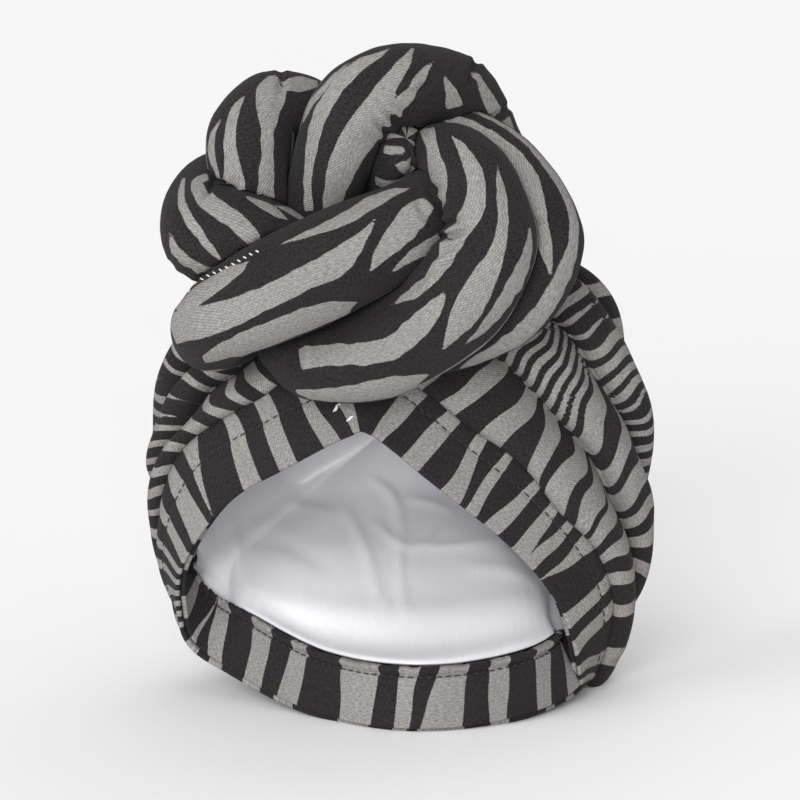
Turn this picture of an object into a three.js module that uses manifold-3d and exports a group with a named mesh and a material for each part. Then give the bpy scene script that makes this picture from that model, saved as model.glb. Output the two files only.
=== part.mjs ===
// A pre-tied turban headwrap set down on a table: a pleated cap of striped cloth with a turned-in hem,
// a satin lining, and a knot of padded strands sewn to the top of the front.
// Millimetres, +Z up, the face opening looks along -Y.
import * as THREE from "three";
import { mergeVertices } from "three/addons/utils/BufferGeometryUtils.js";
import Module from "manifold-3d";

const wasm = await Module();
wasm.setup();

// Cloth and gaps
const CLOTH = 2; // wall of the outer cap
const FACING = 2; // thickness of the cloth turned to the inside
const SATIN = 1.2; // wall of the lining
const GAP = 0.5; // clear space kept between pieces that meet
const TRIM_GAP = 0.3; // clear space left where one piece is cut back from another
const HEM = 30; // width of the plain hem before the first pleat
const FACING_INSET = 1; // the facing stops this far from the folded edge
const FACING_WIDTH = 27; // width of the facing
const FACING_SPREAD = 3; // least angle between the hem and its facing, in degrees
const LINING_LEAD = 9; // the lining follows the facing this far before it turns into the cap
const OVERHANG = 6; // how far a pleat rolls back over the fold below it

// Mesh density
const STEPS_PER_SECTION = 4; // columns between two rows of SECTIONS
const INNER_ROWS = 8;
const LINING_ROWS = 7;
const STRAND_STEPS = 14;
const STRAND_SIDES = 10;

// The knot is drawn about the lip of the nape; the finished part is moved so that its origin is the
// centre of the bottom of its box.
const ORIGIN_X = 0;
const ORIGIN_Y = 73;

// Colours as sRGB hex, read from the photo
const STRIPED_CLOTH = 0x6f6b6b;
const WHITE_SATIN = 0xd6d5d9;

// Where the back of the cap and of the lining close
const POLE = [0, 158, 105];
const LINING_POLE = [0, 146, 108];

// Sections round the face opening, clockwise from the front. Columns: name; edge, a point of the folded
// edge; tilt, the lean of the hem away from straight back in degrees, outwards positive; facing, the same
// for the cloth turned inside; side, where the outer cap is widest; satin, the same for the lining; fold,
// the strength of the pleats; left, 0 on the right half and 1 on the left half.
const SECTION_ROWS = [
  ["peak_right", [-11, 34, 125], 62, 58, [14, 82, 196], [8, 84, 182], 0.5, 0],
  ["right_brow", [13, 37, 102], 64, 60, [80, 96, 178], [62, 94, 162], 0.8, 0],
  ["right_temple", [48, 43, 72], 62, 58, [102, 98, 126], [86, 98, 116], 1, 0],
  ["right_cheek", [70, 50, 44], 52, 40, [103, 102, 70], [88, 104, 70], 1, 0],
  ["right_corner", [79, 50, 15], 24, -26, [94, 94, 22], [78, 98, 44], 0.8, 0],
  ["right_heel", [76, 44, 4], 0, -56, [84, 92, -1], [64, 90, 50], 0.2, 0],
  ["nape_right", [46, 14, 0], -58, -63, [52, 94, -8], [42, 84, 58], 0, 0],
  ["nape", [4, 0, -1], -65, -66, [4, 92, -9], [2, 80, 60], 0, 0.5],
  ["nape_left", [-39, 26, 1], -60, -64, [-44, 98, -8], [-40, 88, 58], 0, 1],
  ["left_heel", [-75, 54, 12], -40, -60, [-75, 101, 8], [-66, 96, 52], 0.1, 1],
  ["left_low", [-93, 61, 22], -8, -42, [-95, 102, 22], [-80, 102, 50], 0.5, 1],
  ["left_corner", [-100, 64, 36], 6, -10, [-100, 102, 42], [-88, 104, 56], 0.7, 1],
  ["left_cheek", [-98, 63, 59], 24, 6, [-102, 102, 72], [-91, 104, 78], 0.9, 1],
  ["left_temple", [-76, 51, 89], 55, 40, [-103, 99, 106], [-90, 100, 104], 1, 1],
  ["left_brow", [-47, 41, 108], 63, 58, [-90, 94, 150], [-80, 94, 140], 0.9, 1],
  ["peak_left", [-24, 35, 123], 62, 58, [-50, 86, 182], [-44, 86, 168], 0.5, 1],
];
const SECTIONS = SECTION_ROWS.map(([name, edge, tilt, facing, side, satin, fold, left]) => (
  { name, edge, tilt, facing, side, satin, fold, left }
));

// Pleats from the hem towards the back. start is where the fold lies, as a share of the way from the hem
// to the pole; rise is the height of the roll.
const PLEATS = [
  { name: "first", start_right: 0.0, start_left: 0.03, rise_right: 7, rise_left: 7 },
  { name: "second", start_right: 0.146, start_left: 0.135, rise_right: 10, rise_left: 9 },
  { name: "third", start_right: 0.287, start_left: 0.243, rise_right: 10, rise_left: 10 },
  { name: "fourth", start_right: 0.42, start_left: 0.38, rise_right: 10, rise_left: 9 },
  { name: "fifth", start_right: 0.57, start_left: 0.54, rise_right: 7, rise_left: 7 },
  { name: "sixth", start_right: 0.73, start_left: 0.71, rise_right: 4, rise_left: 4 },
];
const PLEAT_ROWS = [0, 0.13, 0.36, 0.68];
const SHALLOW_ROWS = [0, 0.2, 0.55];
const SHALLOW_RISE = 8; // pleats lower than this need fewer rows

// Knot strands, front-most first: each row is x, y, z of the centre and the radius there.
const STRANDS = [
  {
    name: "front_band",
    rows: [
      [-72, 62, 165, 17], [-81, 40, 167, 18.5], [-74, 22, 177, 21], [-57, 14, 186, 22.5],
      [-30, 10, 199, 22.5], [-4, 14, 211, 20], [13, 26, 221, 17], [24, 44, 228, 14],
    ],
  },
  {
    name: "right_inner_loop",
    rows: [
      [12, 48, 235, 11], [17, 33, 243, 13], [26, 20, 241, 15.5], [34, 10, 229, 18], [37, 7, 208, 20.5],
      [24, 10, 187, 24], [8, 16, 171, 22], [-14, 22, 158, 19.5], [-37, 30, 154, 16], [-50, 46, 158, 12],
    ],
  },
  {
    name: "knot_core",
    rows: [[0, 74, 222, 20], [0, 60, 228, 19], [0, 46, 235, 16], [0, 36, 241, 13.5], [1, 31, 245, 11]],
  },
  {
    name: "right_outer_loop",
    rows: [
      [2, 62, 242, 13], [19, 52, 248, 15], [35, 42, 243, 15.5], [47, 34, 234, 15.5], [57, 30, 221, 15.5],
      [62, 27, 207, 15.5], [58, 27, 190, 15.5], [45, 30, 176, 15], [29, 36, 165, 14], [13, 50, 157, 12],
    ],
  },
  {
    name: "top_arch",
    rows: [
      [-41, 62, 203, 13], [-34, 46, 224, 16], [-27, 34, 245, 17.5], [-19, 31, 262, 18.5], [-7, 34, 270, 18.5],
      [8, 42, 271, 18], [24, 54, 266, 17], [34, 66, 252, 15.5], [42, 79, 233, 14], [43, 90, 214, 12],
    ],
  },
  {
    name: "left_low_loop",
    rows: [
      [-30, 47, 196, 13], [-47, 36, 203, 15.5], [-65, 33, 210, 17], [-80, 39, 215, 18],
      [-83, 54, 222, 16.5], [-77, 68, 226, 14], [-65, 81, 221, 12],
    ],
  },
  {
    name: "left_loop",
    rows: [
      [-52, 66, 206, 15], [-58, 56, 220, 18.5], [-62, 50, 236, 20.5], [-62, 50, 250, 19.5], [-56, 55, 258, 17.5],
      [-45, 63, 258, 16], [-35, 73, 251, 14], [-29, 84, 234, 12.5], [-26, 92, 216, 11],
    ],
  },
  {
    name: "back_wrap",
    rows: [
      [-68, 58, 184, 16], [-60, 74, 188, 19], [-37, 84, 198, 20], [-12, 83, 207, 21],
      [13, 77, 209, 20], [38, 66, 205, 18], [55, 50, 198, 15],
    ],
  },
];

const COLUMNS = SECTIONS.length * STEPS_PER_SECTION;
const vec = (row) => new THREE.Vector3(row[0], row[1], row[2]);
const mix = (a, b, t) => a + (b - a) * t;

// Periodic Catmull-Rom through one column of SECTIONS, which may hold numbers or points
function ring(column, at) {
  const count = SECTIONS.length;
  const base = Math.floor(at);
  const t = at - base;
  const pick = (k) => [SECTIONS[(base + k + 2 * count) % count][column]].flat();
  const [p, q, r, s] = [pick(-1), pick(0), pick(1), pick(2)];
  return q.map((_, i) => {
    const slopeIn = (r[i] - p[i]) / 2;
    const slopeOut = (s[i] - q[i]) / 2;
    const curve = 3 * (r[i] - q[i]) - 2 * slopeIn - slopeOut;
    const twist = 2 * (q[i] - r[i]) + slopeIn + slopeOut;
    return q[i] + slopeIn * t + curve * t * t + twist * t * t * t;
  });
}

// Straight-line version, for the columns that must not overshoot
function blend(column, at) {
  const count = SECTIONS.length;
  const base = Math.floor(at);
  const here = SECTIONS[(base + count) % count][column];
  const next = SECTIONS[(base + 1 + count) % count][column];
  return mix(here, next, at - base);
}

// Direction away from the folded edge of the hem, column tilt, or of its facing, column facing
function hemDirection(at, column) {
  const ahead = vec(ring("edge", at + 0.1));
  const tangent = ahead.sub(vec(ring("edge", at - 0.1))).normalize();
  const outward = new THREE.Vector3(-tangent.z, 0, tangent.x).normalize();
  const hemTilt = ring("tilt", at)[0];
  const degrees = column === "tilt" ? hemTilt : Math.min(ring(column, at)[0], hemTilt - FACING_SPREAD);
  const tilt = THREE.MathUtils.degToRad(degrees);
  return outward.multiplyScalar(Math.sin(tilt)).add(new THREE.Vector3(0, Math.cos(tilt), 0)).normalize();
}

// Line over the cap from the folded edge to the pole
function capLine(at) {
  const edge = vec(ring("edge", at));
  const hem = hemDirection(at, "tilt");
  const side = vec(ring("side", at));
  const pole = vec(POLE);
  const back = new THREE.Vector3(
    mix(side.x, pole.x, 0.42),
    mix(side.y, pole.y, 0.82),
    mix(side.z, pole.z, 0.42),
  );
  const halfHem = edge.clone().addScaledVector(hem, 0.55 * HEM);
  const hemTop = edge.clone().addScaledVector(hem, HEM);
  return new THREE.CatmullRomCurve3([edge, halfHem, hemTop, side, back, pole], false, "centripetal");
}

// Line across the facing, from just inside the folded edge
function facingLine(at) {
  const start = capSurface(at).offset(FACING_INSET, -(CLOTH + GAP));
  const end = start.clone().addScaledVector(hemDirection(at, "facing"), FACING_WIDTH);
  return new THREE.LineCurve3(start, end);
}

// Line over the lining from the top of the facing to its own pole
function liningLine(at) {
  const inward = hemDirection(at, "facing");
  const start = facingLine(at).v2.addScaledVector(inward, GAP);
  const lead = start.clone().addScaledVector(inward, LINING_LEAD);
  const side = vec(ring("satin", at));
  const pole = vec(LINING_POLE);
  const back = new THREE.Vector3(
    mix(side.x, pole.x, 0.42),
    mix(side.y, pole.y, 0.82),
    mix(side.z, pole.z, 0.42),
  );
  return new THREE.CatmullRomCurve3([start, lead, side, back, pole], false, "centripetal");
}

// A surface swept by one of those lines: points at a distance along it, moved along the outward normal
function surfaceOf(line, at) {
  const here = line(at);
  const before = line(at - 0.05);
  const after = line(at + 0.05);
  const length = here.getLength();
  const share = (distance) => THREE.MathUtils.clamp(distance / length, 0, 1);
  const normal = (distance) => {
    const t = Math.min(share(distance), 0.985);
    const across = after.getPointAt(t).sub(before.getPointAt(t));
    return across.cross(here.getTangentAt(t)).normalize();
  };
  return {
    length,
    normal,
    along: (distance) => here.getTangentAt(share(distance)),
    offset: (distance, out) => here.getPointAt(share(distance)).addScaledVector(normal(distance), out),
  };
}
const capSurface = (at) => surfaceOf(capLine, at);
const facingSurface = (at) => surfaceOf(facingLine, at);
const liningSurface = (at) => surfaceOf(liningLine, at);

// Cloth lies flat where it touches the table
function onTable(point, height) {
  point.z = Math.max(point.z, height);
  return point;
}

// One column of the outside of the cap: the plain hem, then each pleat, then the pole
function pleatedColumn(at) {
  const cap = capSurface(at);
  const left = blend("left", at);
  const strength = blend("fold", at);
  const starts = PLEATS.map((p) => HEM + mix(p.start_right, p.start_left, left) * (cap.length - HEM));
  const points = [onTable(cap.offset(0, 0), 0), cap.offset(0.5 * HEM, 0.4)];
  PLEATS.forEach((pleat, k) => {
    const end = k + 1 < PLEATS.length ? starts[k + 1] : cap.length * 0.97;
    const rise = strength * mix(pleat.rise_right, pleat.rise_left, left);
    const rows = pleat.rise_right < SHALLOW_RISE && k > 0 ? SHALLOW_ROWS : PLEAT_ROWS;
    for (const t of rows) {
      const distance = mix(starts[k], end, t);
      const point = cap.offset(distance, rise * Math.sin(Math.PI * Math.pow(t, 0.6)));
      const roll = strength * OVERHANG * Math.sin(Math.PI * t) * (1 - t);
      points.push(onTable(point.addScaledVector(cap.along(distance), -roll), 0));
    }
  });
  return points;
}

// Closed solid between two stacks of rings that share the same columns. Each stack is a list of rows;
// a stack may end in a single point.
function closedShell(outer, outerPole, inner, innerPole) {
  const positions = [];
  const index = [];
  const add = (p) => positions.push(p.x, p.y, p.z) / 3 - 1;
  const columns = outer[0].length;
  const quad = (a, b, c, d) => index.push(a, b, c, a, c, d);
  const join = (lower, upper) => {
    for (let i = 0; i < columns; i += 1) {
      const j = (i + 1) % columns;
      quad(lower[i], lower[j], upper[j], upper[i]);
    }
  };
  const outerRows = outer.map((row) => row.map(add));
  const innerRows = inner.map((row) => row.map(add));
  for (let r = 0; r + 1 < outerRows.length; r += 1) {
    join(outerRows[r], outerRows[r + 1]);
  }
  for (let r = 0; r + 1 < innerRows.length; r += 1) {
    join(innerRows[r + 1], innerRows[r]);
  }
  join(innerRows[0], outerRows[0]);
  if (outerPole) {
    const top = add(outerPole);
    const under = add(innerPole);
    const lastOuter = outerRows[outerRows.length - 1];
    const lastInner = innerRows[innerRows.length - 1];
    for (let i = 0; i < columns; i += 1) {
      const j = (i + 1) % columns;
      index.push(lastOuter[i], lastOuter[j], top);
      index.push(lastInner[j], lastInner[i], under);
    }
  } else {
    join(outerRows[outerRows.length - 1], innerRows[innerRows.length - 1]);
  }
  return { positions, index };
}

const columnPositions = Array.from({ length: COLUMNS }, (_, i) => i / STEPS_PER_SECTION);
const rowsOf = (columns) => columns[0].map((_, r) => columns.map((column) => column[r]));

// Cap of pleated cloth; spare thickens its inside so that the pieces within keep clear of it
function crownShell(spare) {
  const outer = rowsOf(columnPositions.map(pleatedColumn));
  const inner = rowsOf(columnPositions.map((at) => {
    const cap = capSurface(at);
    const places = Array.from({ length: INNER_ROWS }, (_, r) => (0.97 * cap.length * r) / (INNER_ROWS - 1));
    return places.map((distance) => {
      const point = cap.offset(distance, -(CLOTH + spare));
      return onTable(point, distance > HEM ? CLOTH + spare : 0);
    });
  }));
  const pole = vec(POLE);
  return closedShell(outer, pole, inner, new THREE.Vector3(pole.x, pole.y - CLOTH - spare, pole.z));
}

// Cloth turned to the inside along the folded edge, made fatter all round by spare
function hemFacing(spare) {
  const face = (depth) => rowsOf(columnPositions.map((at) => {
    const facing = facingSurface(at);
    const places = [0, 0.5 * FACING_WIDTH, FACING_WIDTH];
    return places.map((distance) => facing.offset(distance, -depth));
  }));
  return closedShell(face(-spare), null, face(FACING + spare), null);
}

function satinLining() {
  const face = (depth) => rowsOf(columnPositions.map((at) => {
    const lining = liningSurface(at);
    const places = Array.from({ length: LINING_ROWS }, (_, r) => (0.96 * lining.length * r) / (LINING_ROWS - 1));
    return places.map((distance) => lining.offset(distance, -depth));
  }));
  const pole = vec(LINING_POLE);
  return closedShell(face(0), pole, face(SATIN), new THREE.Vector3(pole.x, pole.y - SATIN, pole.z));
}

// Padded tube with rounded ends along the rows of a strand, made fatter by grow
function strandTube(rows, grow) {
  const curve = new THREE.CatmullRomCurve3(rows.map(vec), false, "centripetal");
  const radii = new THREE.CatmullRomCurve3(rows.map((r, i) => new THREE.Vector3(r[3], i, 0)), false, "centripetal");
  const frames = curve.computeFrenetFrames(STRAND_STEPS, false);
  const positions = [];
  const index = [];
  const addRing = (centre, radius, step) => {
    for (let k = 0; k < STRAND_SIDES; k += 1) {
      const turn = (2 * Math.PI * k) / STRAND_SIDES;
      const p = centre.clone();
      p.addScaledVector(frames.normals[step], radius * Math.cos(turn));
      p.addScaledVector(frames.binormals[step], radius * Math.sin(turn));
      positions.push(p.x, p.y, p.z);
    }
  };
  const ends = [0, STRAND_STEPS].map((step) => {
    const share = step / STRAND_STEPS;
    const out = curve.getTangentAt(share).multiplyScalar(step === 0 ? -1 : 1);
    return { step, centre: curve.getPointAt(share), out, radius: radii.getPoint(share).x + grow };
  });
  const [first, last] = ends;
  const dome = (end, lift) => end.centre.clone().addScaledVector(end.out, lift * end.radius);
  addRing(dome(first, 0.6), 0.7 * first.radius, 0);
  for (let step = 0; step <= STRAND_STEPS; step += 1) {
    const share = step / STRAND_STEPS;
    addRing(curve.getPointAt(share), radii.getPoint(curve.getUtoTmapping(share)).x + grow, step);
  }
  addRing(dome(last, 0.6), 0.7 * last.radius, STRAND_STEPS);
  const rings = STRAND_STEPS + 3;
  const tip = (end) => {
    const p = dome(end, 0.85);
    return positions.push(p.x, p.y, p.z) / 3 - 1;
  };
  const startTip = tip(first);
  const endTip = tip(last);
  for (let k = 0; k < STRAND_SIDES; k += 1) {
    const n = (k + 1) % STRAND_SIDES;
    for (let r = 0; r + 1 < rings; r += 1) {
      const low = r * STRAND_SIDES;
      const high = low + STRAND_SIDES;
      index.push(low + k, low + n, high + n, low + k, high + n, high + k);
    }
    index.push(startTip, n, k);
    const top = (rings - 1) * STRAND_SIDES;
    index.push(endTip, top + k, top + n);
  }
  return { positions, index };
}

function solid({ positions, index }) {
  const mesh = new wasm.Mesh({
    numProp: 3,
    vertProperties: new Float32Array(positions),
    triVerts: new Uint32Array(index),
  });
  return new wasm.Manifold(mesh);
}

const biggest = (shape) => shape.decompose().sort((a, b) => b.volume() - a.volume())[0];

const group = new THREE.Group();
group.name = "turban_headwrap";

function addPiece(name, shape, colour, roughness) {
  const { vertProperties, triVerts } = shape.getMesh();
  const raw = new THREE.BufferGeometry();
  raw.setAttribute("position", new THREE.BufferAttribute(new Float32Array(vertProperties), 3));
  raw.setIndex(new THREE.BufferAttribute(new Uint32Array(triVerts), 1));
  raw.translate(-ORIGIN_X, -ORIGIN_Y, 0);
  const geometry = mergeVertices(raw, 1e-4);
  geometry.computeVertexNormals();
  const material = new THREE.MeshStandardMaterial({ color: colour, roughness, metalness: 0 });
  const mesh = new THREE.Mesh(geometry, material);
  mesh.name = name;
  group.add(mesh);
}

const crown = solid(crownShell(0));
const insideCrown = solid(crownShell(TRIM_GAP));
const facing = biggest(solid(hemFacing(0)).subtract(insideCrown));
const lining = biggest(solid(satinLining()).subtract(insideCrown).subtract(solid(hemFacing(TRIM_GAP))));
addPiece("crown_shell", crown, STRIPED_CLOTH, 0.85);
addPiece("hem_facing", facing, STRIPED_CLOTH, 0.85);
addPiece("lining", lining, WHITE_SATIN, 0.35);

// Each strand gives way to the cap and to the strands in front of it
let taken = crown;
for (const strand of STRANDS) {
  const body = biggest(solid(strandTube(strand.rows, 0)).subtract(taken));
  addPiece(strand.name, body, STRIPED_CLOTH, 0.85);
  taken = taken.add(solid(strandTube(strand.rows, TRIM_GAP)));
}

export default group;
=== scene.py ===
"""A pre-tied turban headwrap set down on a white table, dressed over its CAD solids.

The pleated cap, its turned-in hem, the satin lining and the padded strands of the knot are each built as
one mesh over the solid it stands for, with many more points, folds, a striped print and stitching.
Lengths in the tables are millimetres. They are measured from the lip of the nape, which is called the lip
frame here, and moved to the frame's origin when a mesh is made. A place round the face opening is a number
that starts with 0 at the peak and counts the sections clockwise, as the camera sees them."""

import math

import bpy
import numpy as np
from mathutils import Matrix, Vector
from mathutils.bvhtree import BVHTree


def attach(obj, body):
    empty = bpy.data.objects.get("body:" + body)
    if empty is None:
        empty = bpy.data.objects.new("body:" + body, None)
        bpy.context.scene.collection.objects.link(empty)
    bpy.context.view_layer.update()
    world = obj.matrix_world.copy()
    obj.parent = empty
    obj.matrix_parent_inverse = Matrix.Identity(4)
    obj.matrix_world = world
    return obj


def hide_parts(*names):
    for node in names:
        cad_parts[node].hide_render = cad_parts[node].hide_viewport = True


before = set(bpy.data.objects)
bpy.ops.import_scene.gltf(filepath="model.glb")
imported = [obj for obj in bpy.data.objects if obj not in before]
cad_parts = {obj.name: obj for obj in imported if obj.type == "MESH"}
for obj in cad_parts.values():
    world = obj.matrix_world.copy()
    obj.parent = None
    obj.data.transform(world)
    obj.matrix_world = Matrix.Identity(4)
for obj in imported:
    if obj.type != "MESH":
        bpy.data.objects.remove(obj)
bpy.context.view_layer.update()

MM = 0.001
ORIGIN = np.array([0.0, 73.0, 0.0])
BACKWARD = np.array([0.0, 1.0, 0.0])
TINY = 1e-9
SMALL = 1e-6

# Cloth, as in the solids: thicknesses, the space between cloths, the hem, the facing and the satin's start
CLOTH = 2.0
FACING = 2.0
SATIN = 1.2
GAP = 0.5
HEM = 30.0
HEM_MIDDLE = 0.55  # share of the hem's width where its line has a point of its own
FACING_INSET = 1.0
FACING_WIDTH = 27.0
FACING_SPREAD = 3.0
LINING_LEAD = 9.0
POLE = np.array([0.0, 158.0, 105.0])
LINING_POLE = np.array([0.0, 146.0, 108.0])
POLE_SHARE = np.array([0.42, 0.82, 0.42])  # where a line turns to the pole: share of the way, by axis

# The satin as it leaves the facing: how far round its direction is evened out, where the nape band is and how
# softly that ends, and how much the satin turns to the back there
LEAD_SPREAD = (-0.9, -0.6, -0.3, 0.0, 0.3, 0.6, 0.9)
NAPE = (4.2, 11.0)
NAPE_EASE = 1.2
NAPE_LEAN = 1.3
TUCK = (10.2, 1.0, 2.4)  # where the satin is tucked behind the facing, how far round, and how far back
TUCK_DEPTH = 0.06

# Mesh density
CAP_COLUMNS = 480
HEM_ROWS = 30
PLEAT_STEPS = 21
PLEAT_CROWD = 1.25  # rows of a pleat lie closer to its fold
CAP_INNER_ROWS = 14
CAP_END = 0.97  # share of a line where the rows of the cap end and a fan closes it
FACING_COLUMNS = 640
FACING_ROWS = 44
LINING_COLUMNS = 384
LINING_ROWS = 84
LINING_CROWD = 0.9
LINING_END = 0.96
STRAND_SIDES = 104
STRAND_PITCH = 1.25
STRAND_SAMPLES = 400
BLADE_SAMPLES = 24
FOLD_SAMPLES = 32
LINE_SAMPLES = 241
SWEEP_STEP = 0.05  # step round the opening for normals
EDGE_STEP = 0.1
STEADY_NORMALS = 0.985  # from this share of a line on its normal is kept, because lines meet at the pole

# Seeded wobbles: height, wave length and seed. Most lengths are mm. Those of fold, rise, second and pucker
# are on a circle of radius 1 round the opening, and those of blade_x and blade_y are in the knot's chart.
WOBBLES = {
    "fold": (0.011, 0.4, 40),
    "rise": (0.16, 0.7, 60),
    "second": (0.7, 0.45, 80),
    "cap": (0.35, 45, 5),
    "stripe": (1.0, 26, 70),
    "sway": (1.8, 48, 110),
    "late": (0.9, 55, 120),
    "back": (7, 75, 91),
    "back_fine": (2, 30, 92),
    "back_width": (0.45, 60, 93),
    "pucker": (1.0, 0.05, 11),
    "facing_stripe": (0.5, 20, 12),
    "satin": (0.9, 60, 21),
    "blade_x": (2.2, 60, 31),
    "blade_y": (2.2, 60, 32),
    "strand": (0.5, 34, 300),
    "strand_fine": (0.12, 9, 330),
    "strand_stripe": (0.2, 95, 500),
}
WAVES = 9
WAVE_SPREAD = (0.55, 1.3)
WAVE_GAIN = 0.6

# The sections round the face opening, clockwise from the front: folded edge, lean of the hem, lean of the
# facing, widest point of the cap, widest point of the lining, strength of the pleats, share of the left half.
SECTION_COLUMNS = ("edge", "tilt", "facing", "side", "satin", "fold", "left")
SECTION_ROWS = [
    [(-12, 34, 122.5), 62, 58, (14, 82, 196), (8, 84, 182), 0.5, 0],
    [(13, 37, 102), 64, 60, (80, 96, 178), (62, 94, 162), 0.8, 0],
    [(48, 43, 72), 62, 58, (102, 98, 126), (86, 98, 116), 1, 0],
    [(70, 50, 44), 52, 40, (103, 102, 70), (88, 104, 70), 1, 0],
    [(79, 50, 15), 24, -27, (94, 94, 22), (72, 98, 48), 0.9, 0],
    [(76, 44, 4), 0, -68, (84, 92, -1), (58, 88, 52), 0.5, 0],
    [(46, 14, 0), -58, -71, (52, 94, -8), (42, 84, 58), 0, 0],
    [(4, 0, -1), -65, -66, (4, 92, -9), (2, 80, 60), 0, 0.5],
    [(-39, 26, 1), -60, -64, (-44, 98, -8), (-40, 88, 58), 0, 1],
    [(-75, 54, 12), -40, -60, (-75, 101, 8), (-66, 96, 52), 0.1, 1],
    [(-92, 61, 22), -8, -45, (-95, 102, 22), (-74, 101, 53), 0.4, 1],
    [(-97.5, 64, 36), 6, -24, (-99, 102, 42), (-86, 104, 58), 0.45, 1],
    [(-96, 63, 59), 24, 9, (-101, 102, 72), (-91, 104, 78), 0.7, 1],
    [(-76, 51, 89), 55, 40, (-103, 99, 106), (-90, 100, 104), 1, 1],
    [(-47, 41, 108), 63, 58, (-90, 94, 150), (-80, 94, 140), 0.9, 1],
    [(-23, 35, 121.5), 62, 58, (-50, 86, 182), (-44, 86, 168), 0.5, 1],
]
ROUND = len(SECTION_ROWS)  # places round the opening
SECTIONS = {
    name: np.array([row[k] for row in SECTION_ROWS], float).reshape(ROUND, -1)
    for k, name in enumerate(SECTION_COLUMNS)
}

# Pleats from the hem to the pole: where the fold lies on the right and left half, and the height of the roll
PLEATS = [
    (0.0, 0.03, 7, 7),
    (0.146, 0.135, 10, 9),
    (0.287, 0.243, 10, 10),
    (0.42, 0.38, 10, 9),
    (0.57, 0.54, 4.5, 4.5),
    (0.73, 0.71, 2, 2),
]
ROLL = 5.0  # how far a pleat rolls over the fold below it
VALLEY = 5.0  # how far the cloth dips between two pleats
FIRST_DIP = 0.4  # share of that dip where the first pleat leaves the hem
PLEAT_LEAN = 0.62  # powers below 1 move the top of a pleat, and its roll, toward its fold
ROLL_LEAN = 0.5
SECOND_FOLD = (0.0, 2.2, 3.2, 3.4, 2.6, 1.6)  # height of a softer fold half way up each pleat
SECOND_AT = (0.55, 0.13)  # where on a pleat that fold lies, and its width
SECOND_MEAN = 0.6  # its mean share of that height

# The heels of the opening, where the facing turns from the side to the nape: place round the opening, the way
# the facing points there (across, up), and how far along the edge that holds
HEELS = [(4.2, -0.25, 0.97, 0.8), (10.8, 0.5, 0.86, 0.8)]

# The right hem laps over the left one at the peak: where on the edge, how much earlier for each mm up the
# hem, how far it stands up, the width of the step, how soon it fades to the right, and where up the hem it
# ends and how softly
LAP_AT = -0.25
LAP_SLOPE = 0.05
LAP_RISE = 2.2
LAP_WIDTH = 0.07
LAP_FADE = 2.0
LAP_TOP = 24.0
LAP_EASE = 8.0

# Stitching: distance from the edge on the hem, place across the facing, where round the opening each row
# begins and ends, the length, gap and radius of a stitch, and how it rises and dips in at its ends
HEM_STITCH = 22.0
NAPE_STITCH = 0.83
HEM_SEWN = (11.1, 4.6)
NAPE_SEWN = (4.1, 11.2)
STITCH = 3.0
STITCH_GAP = 1.3
STITCH_RADIUS = 0.32
STITCH_POINTS = 6
STITCH_LIFT = 0.45
STITCH_DIP = 0.1
THREAD_SIDES = 6
THREAD_END = 0.5  # share of its radius that a thread has at its ends
ASIDE = np.array([0.31, 0.52, 0.8])  # a direction that no thread follows

# The hem swells, with a groove along its stitches (place, width, depth). The cap's rim rolls over, its inside
# keeps clear of the valleys, and the cap is a little uneven, out from its middle.
HEM_SWELL = 0.5
HEM_GROOVE = (HEM_STITCH, 1.3, 0.7)
RIM_ROLL = 0.45
INNER_DIP = 1.4
INNER_EASE = 12.0
CAP_MIDDLE = np.array([0.0, 95.0, 100.0])

# The facing's free edge, in shares of the facing's width and mm: a small roll and the stitched groove below
# it (place, width, height), how far the groove follows each stitch, and where and how thin the top rounds off
EDGE_ROLL = (0.93, 0.055, 1.5)
SEAM_GROOVE = (NAPE_STITCH, 0.024, 1.5)
SCALLOP = 0.018
EDGE_TOP = 0.94
EDGE_LEAST = 0.04
EDGE_PUCKER = 0.5
ROLL_PUCKER = 0.4
GROOVE_PUCKER = 0.2

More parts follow.
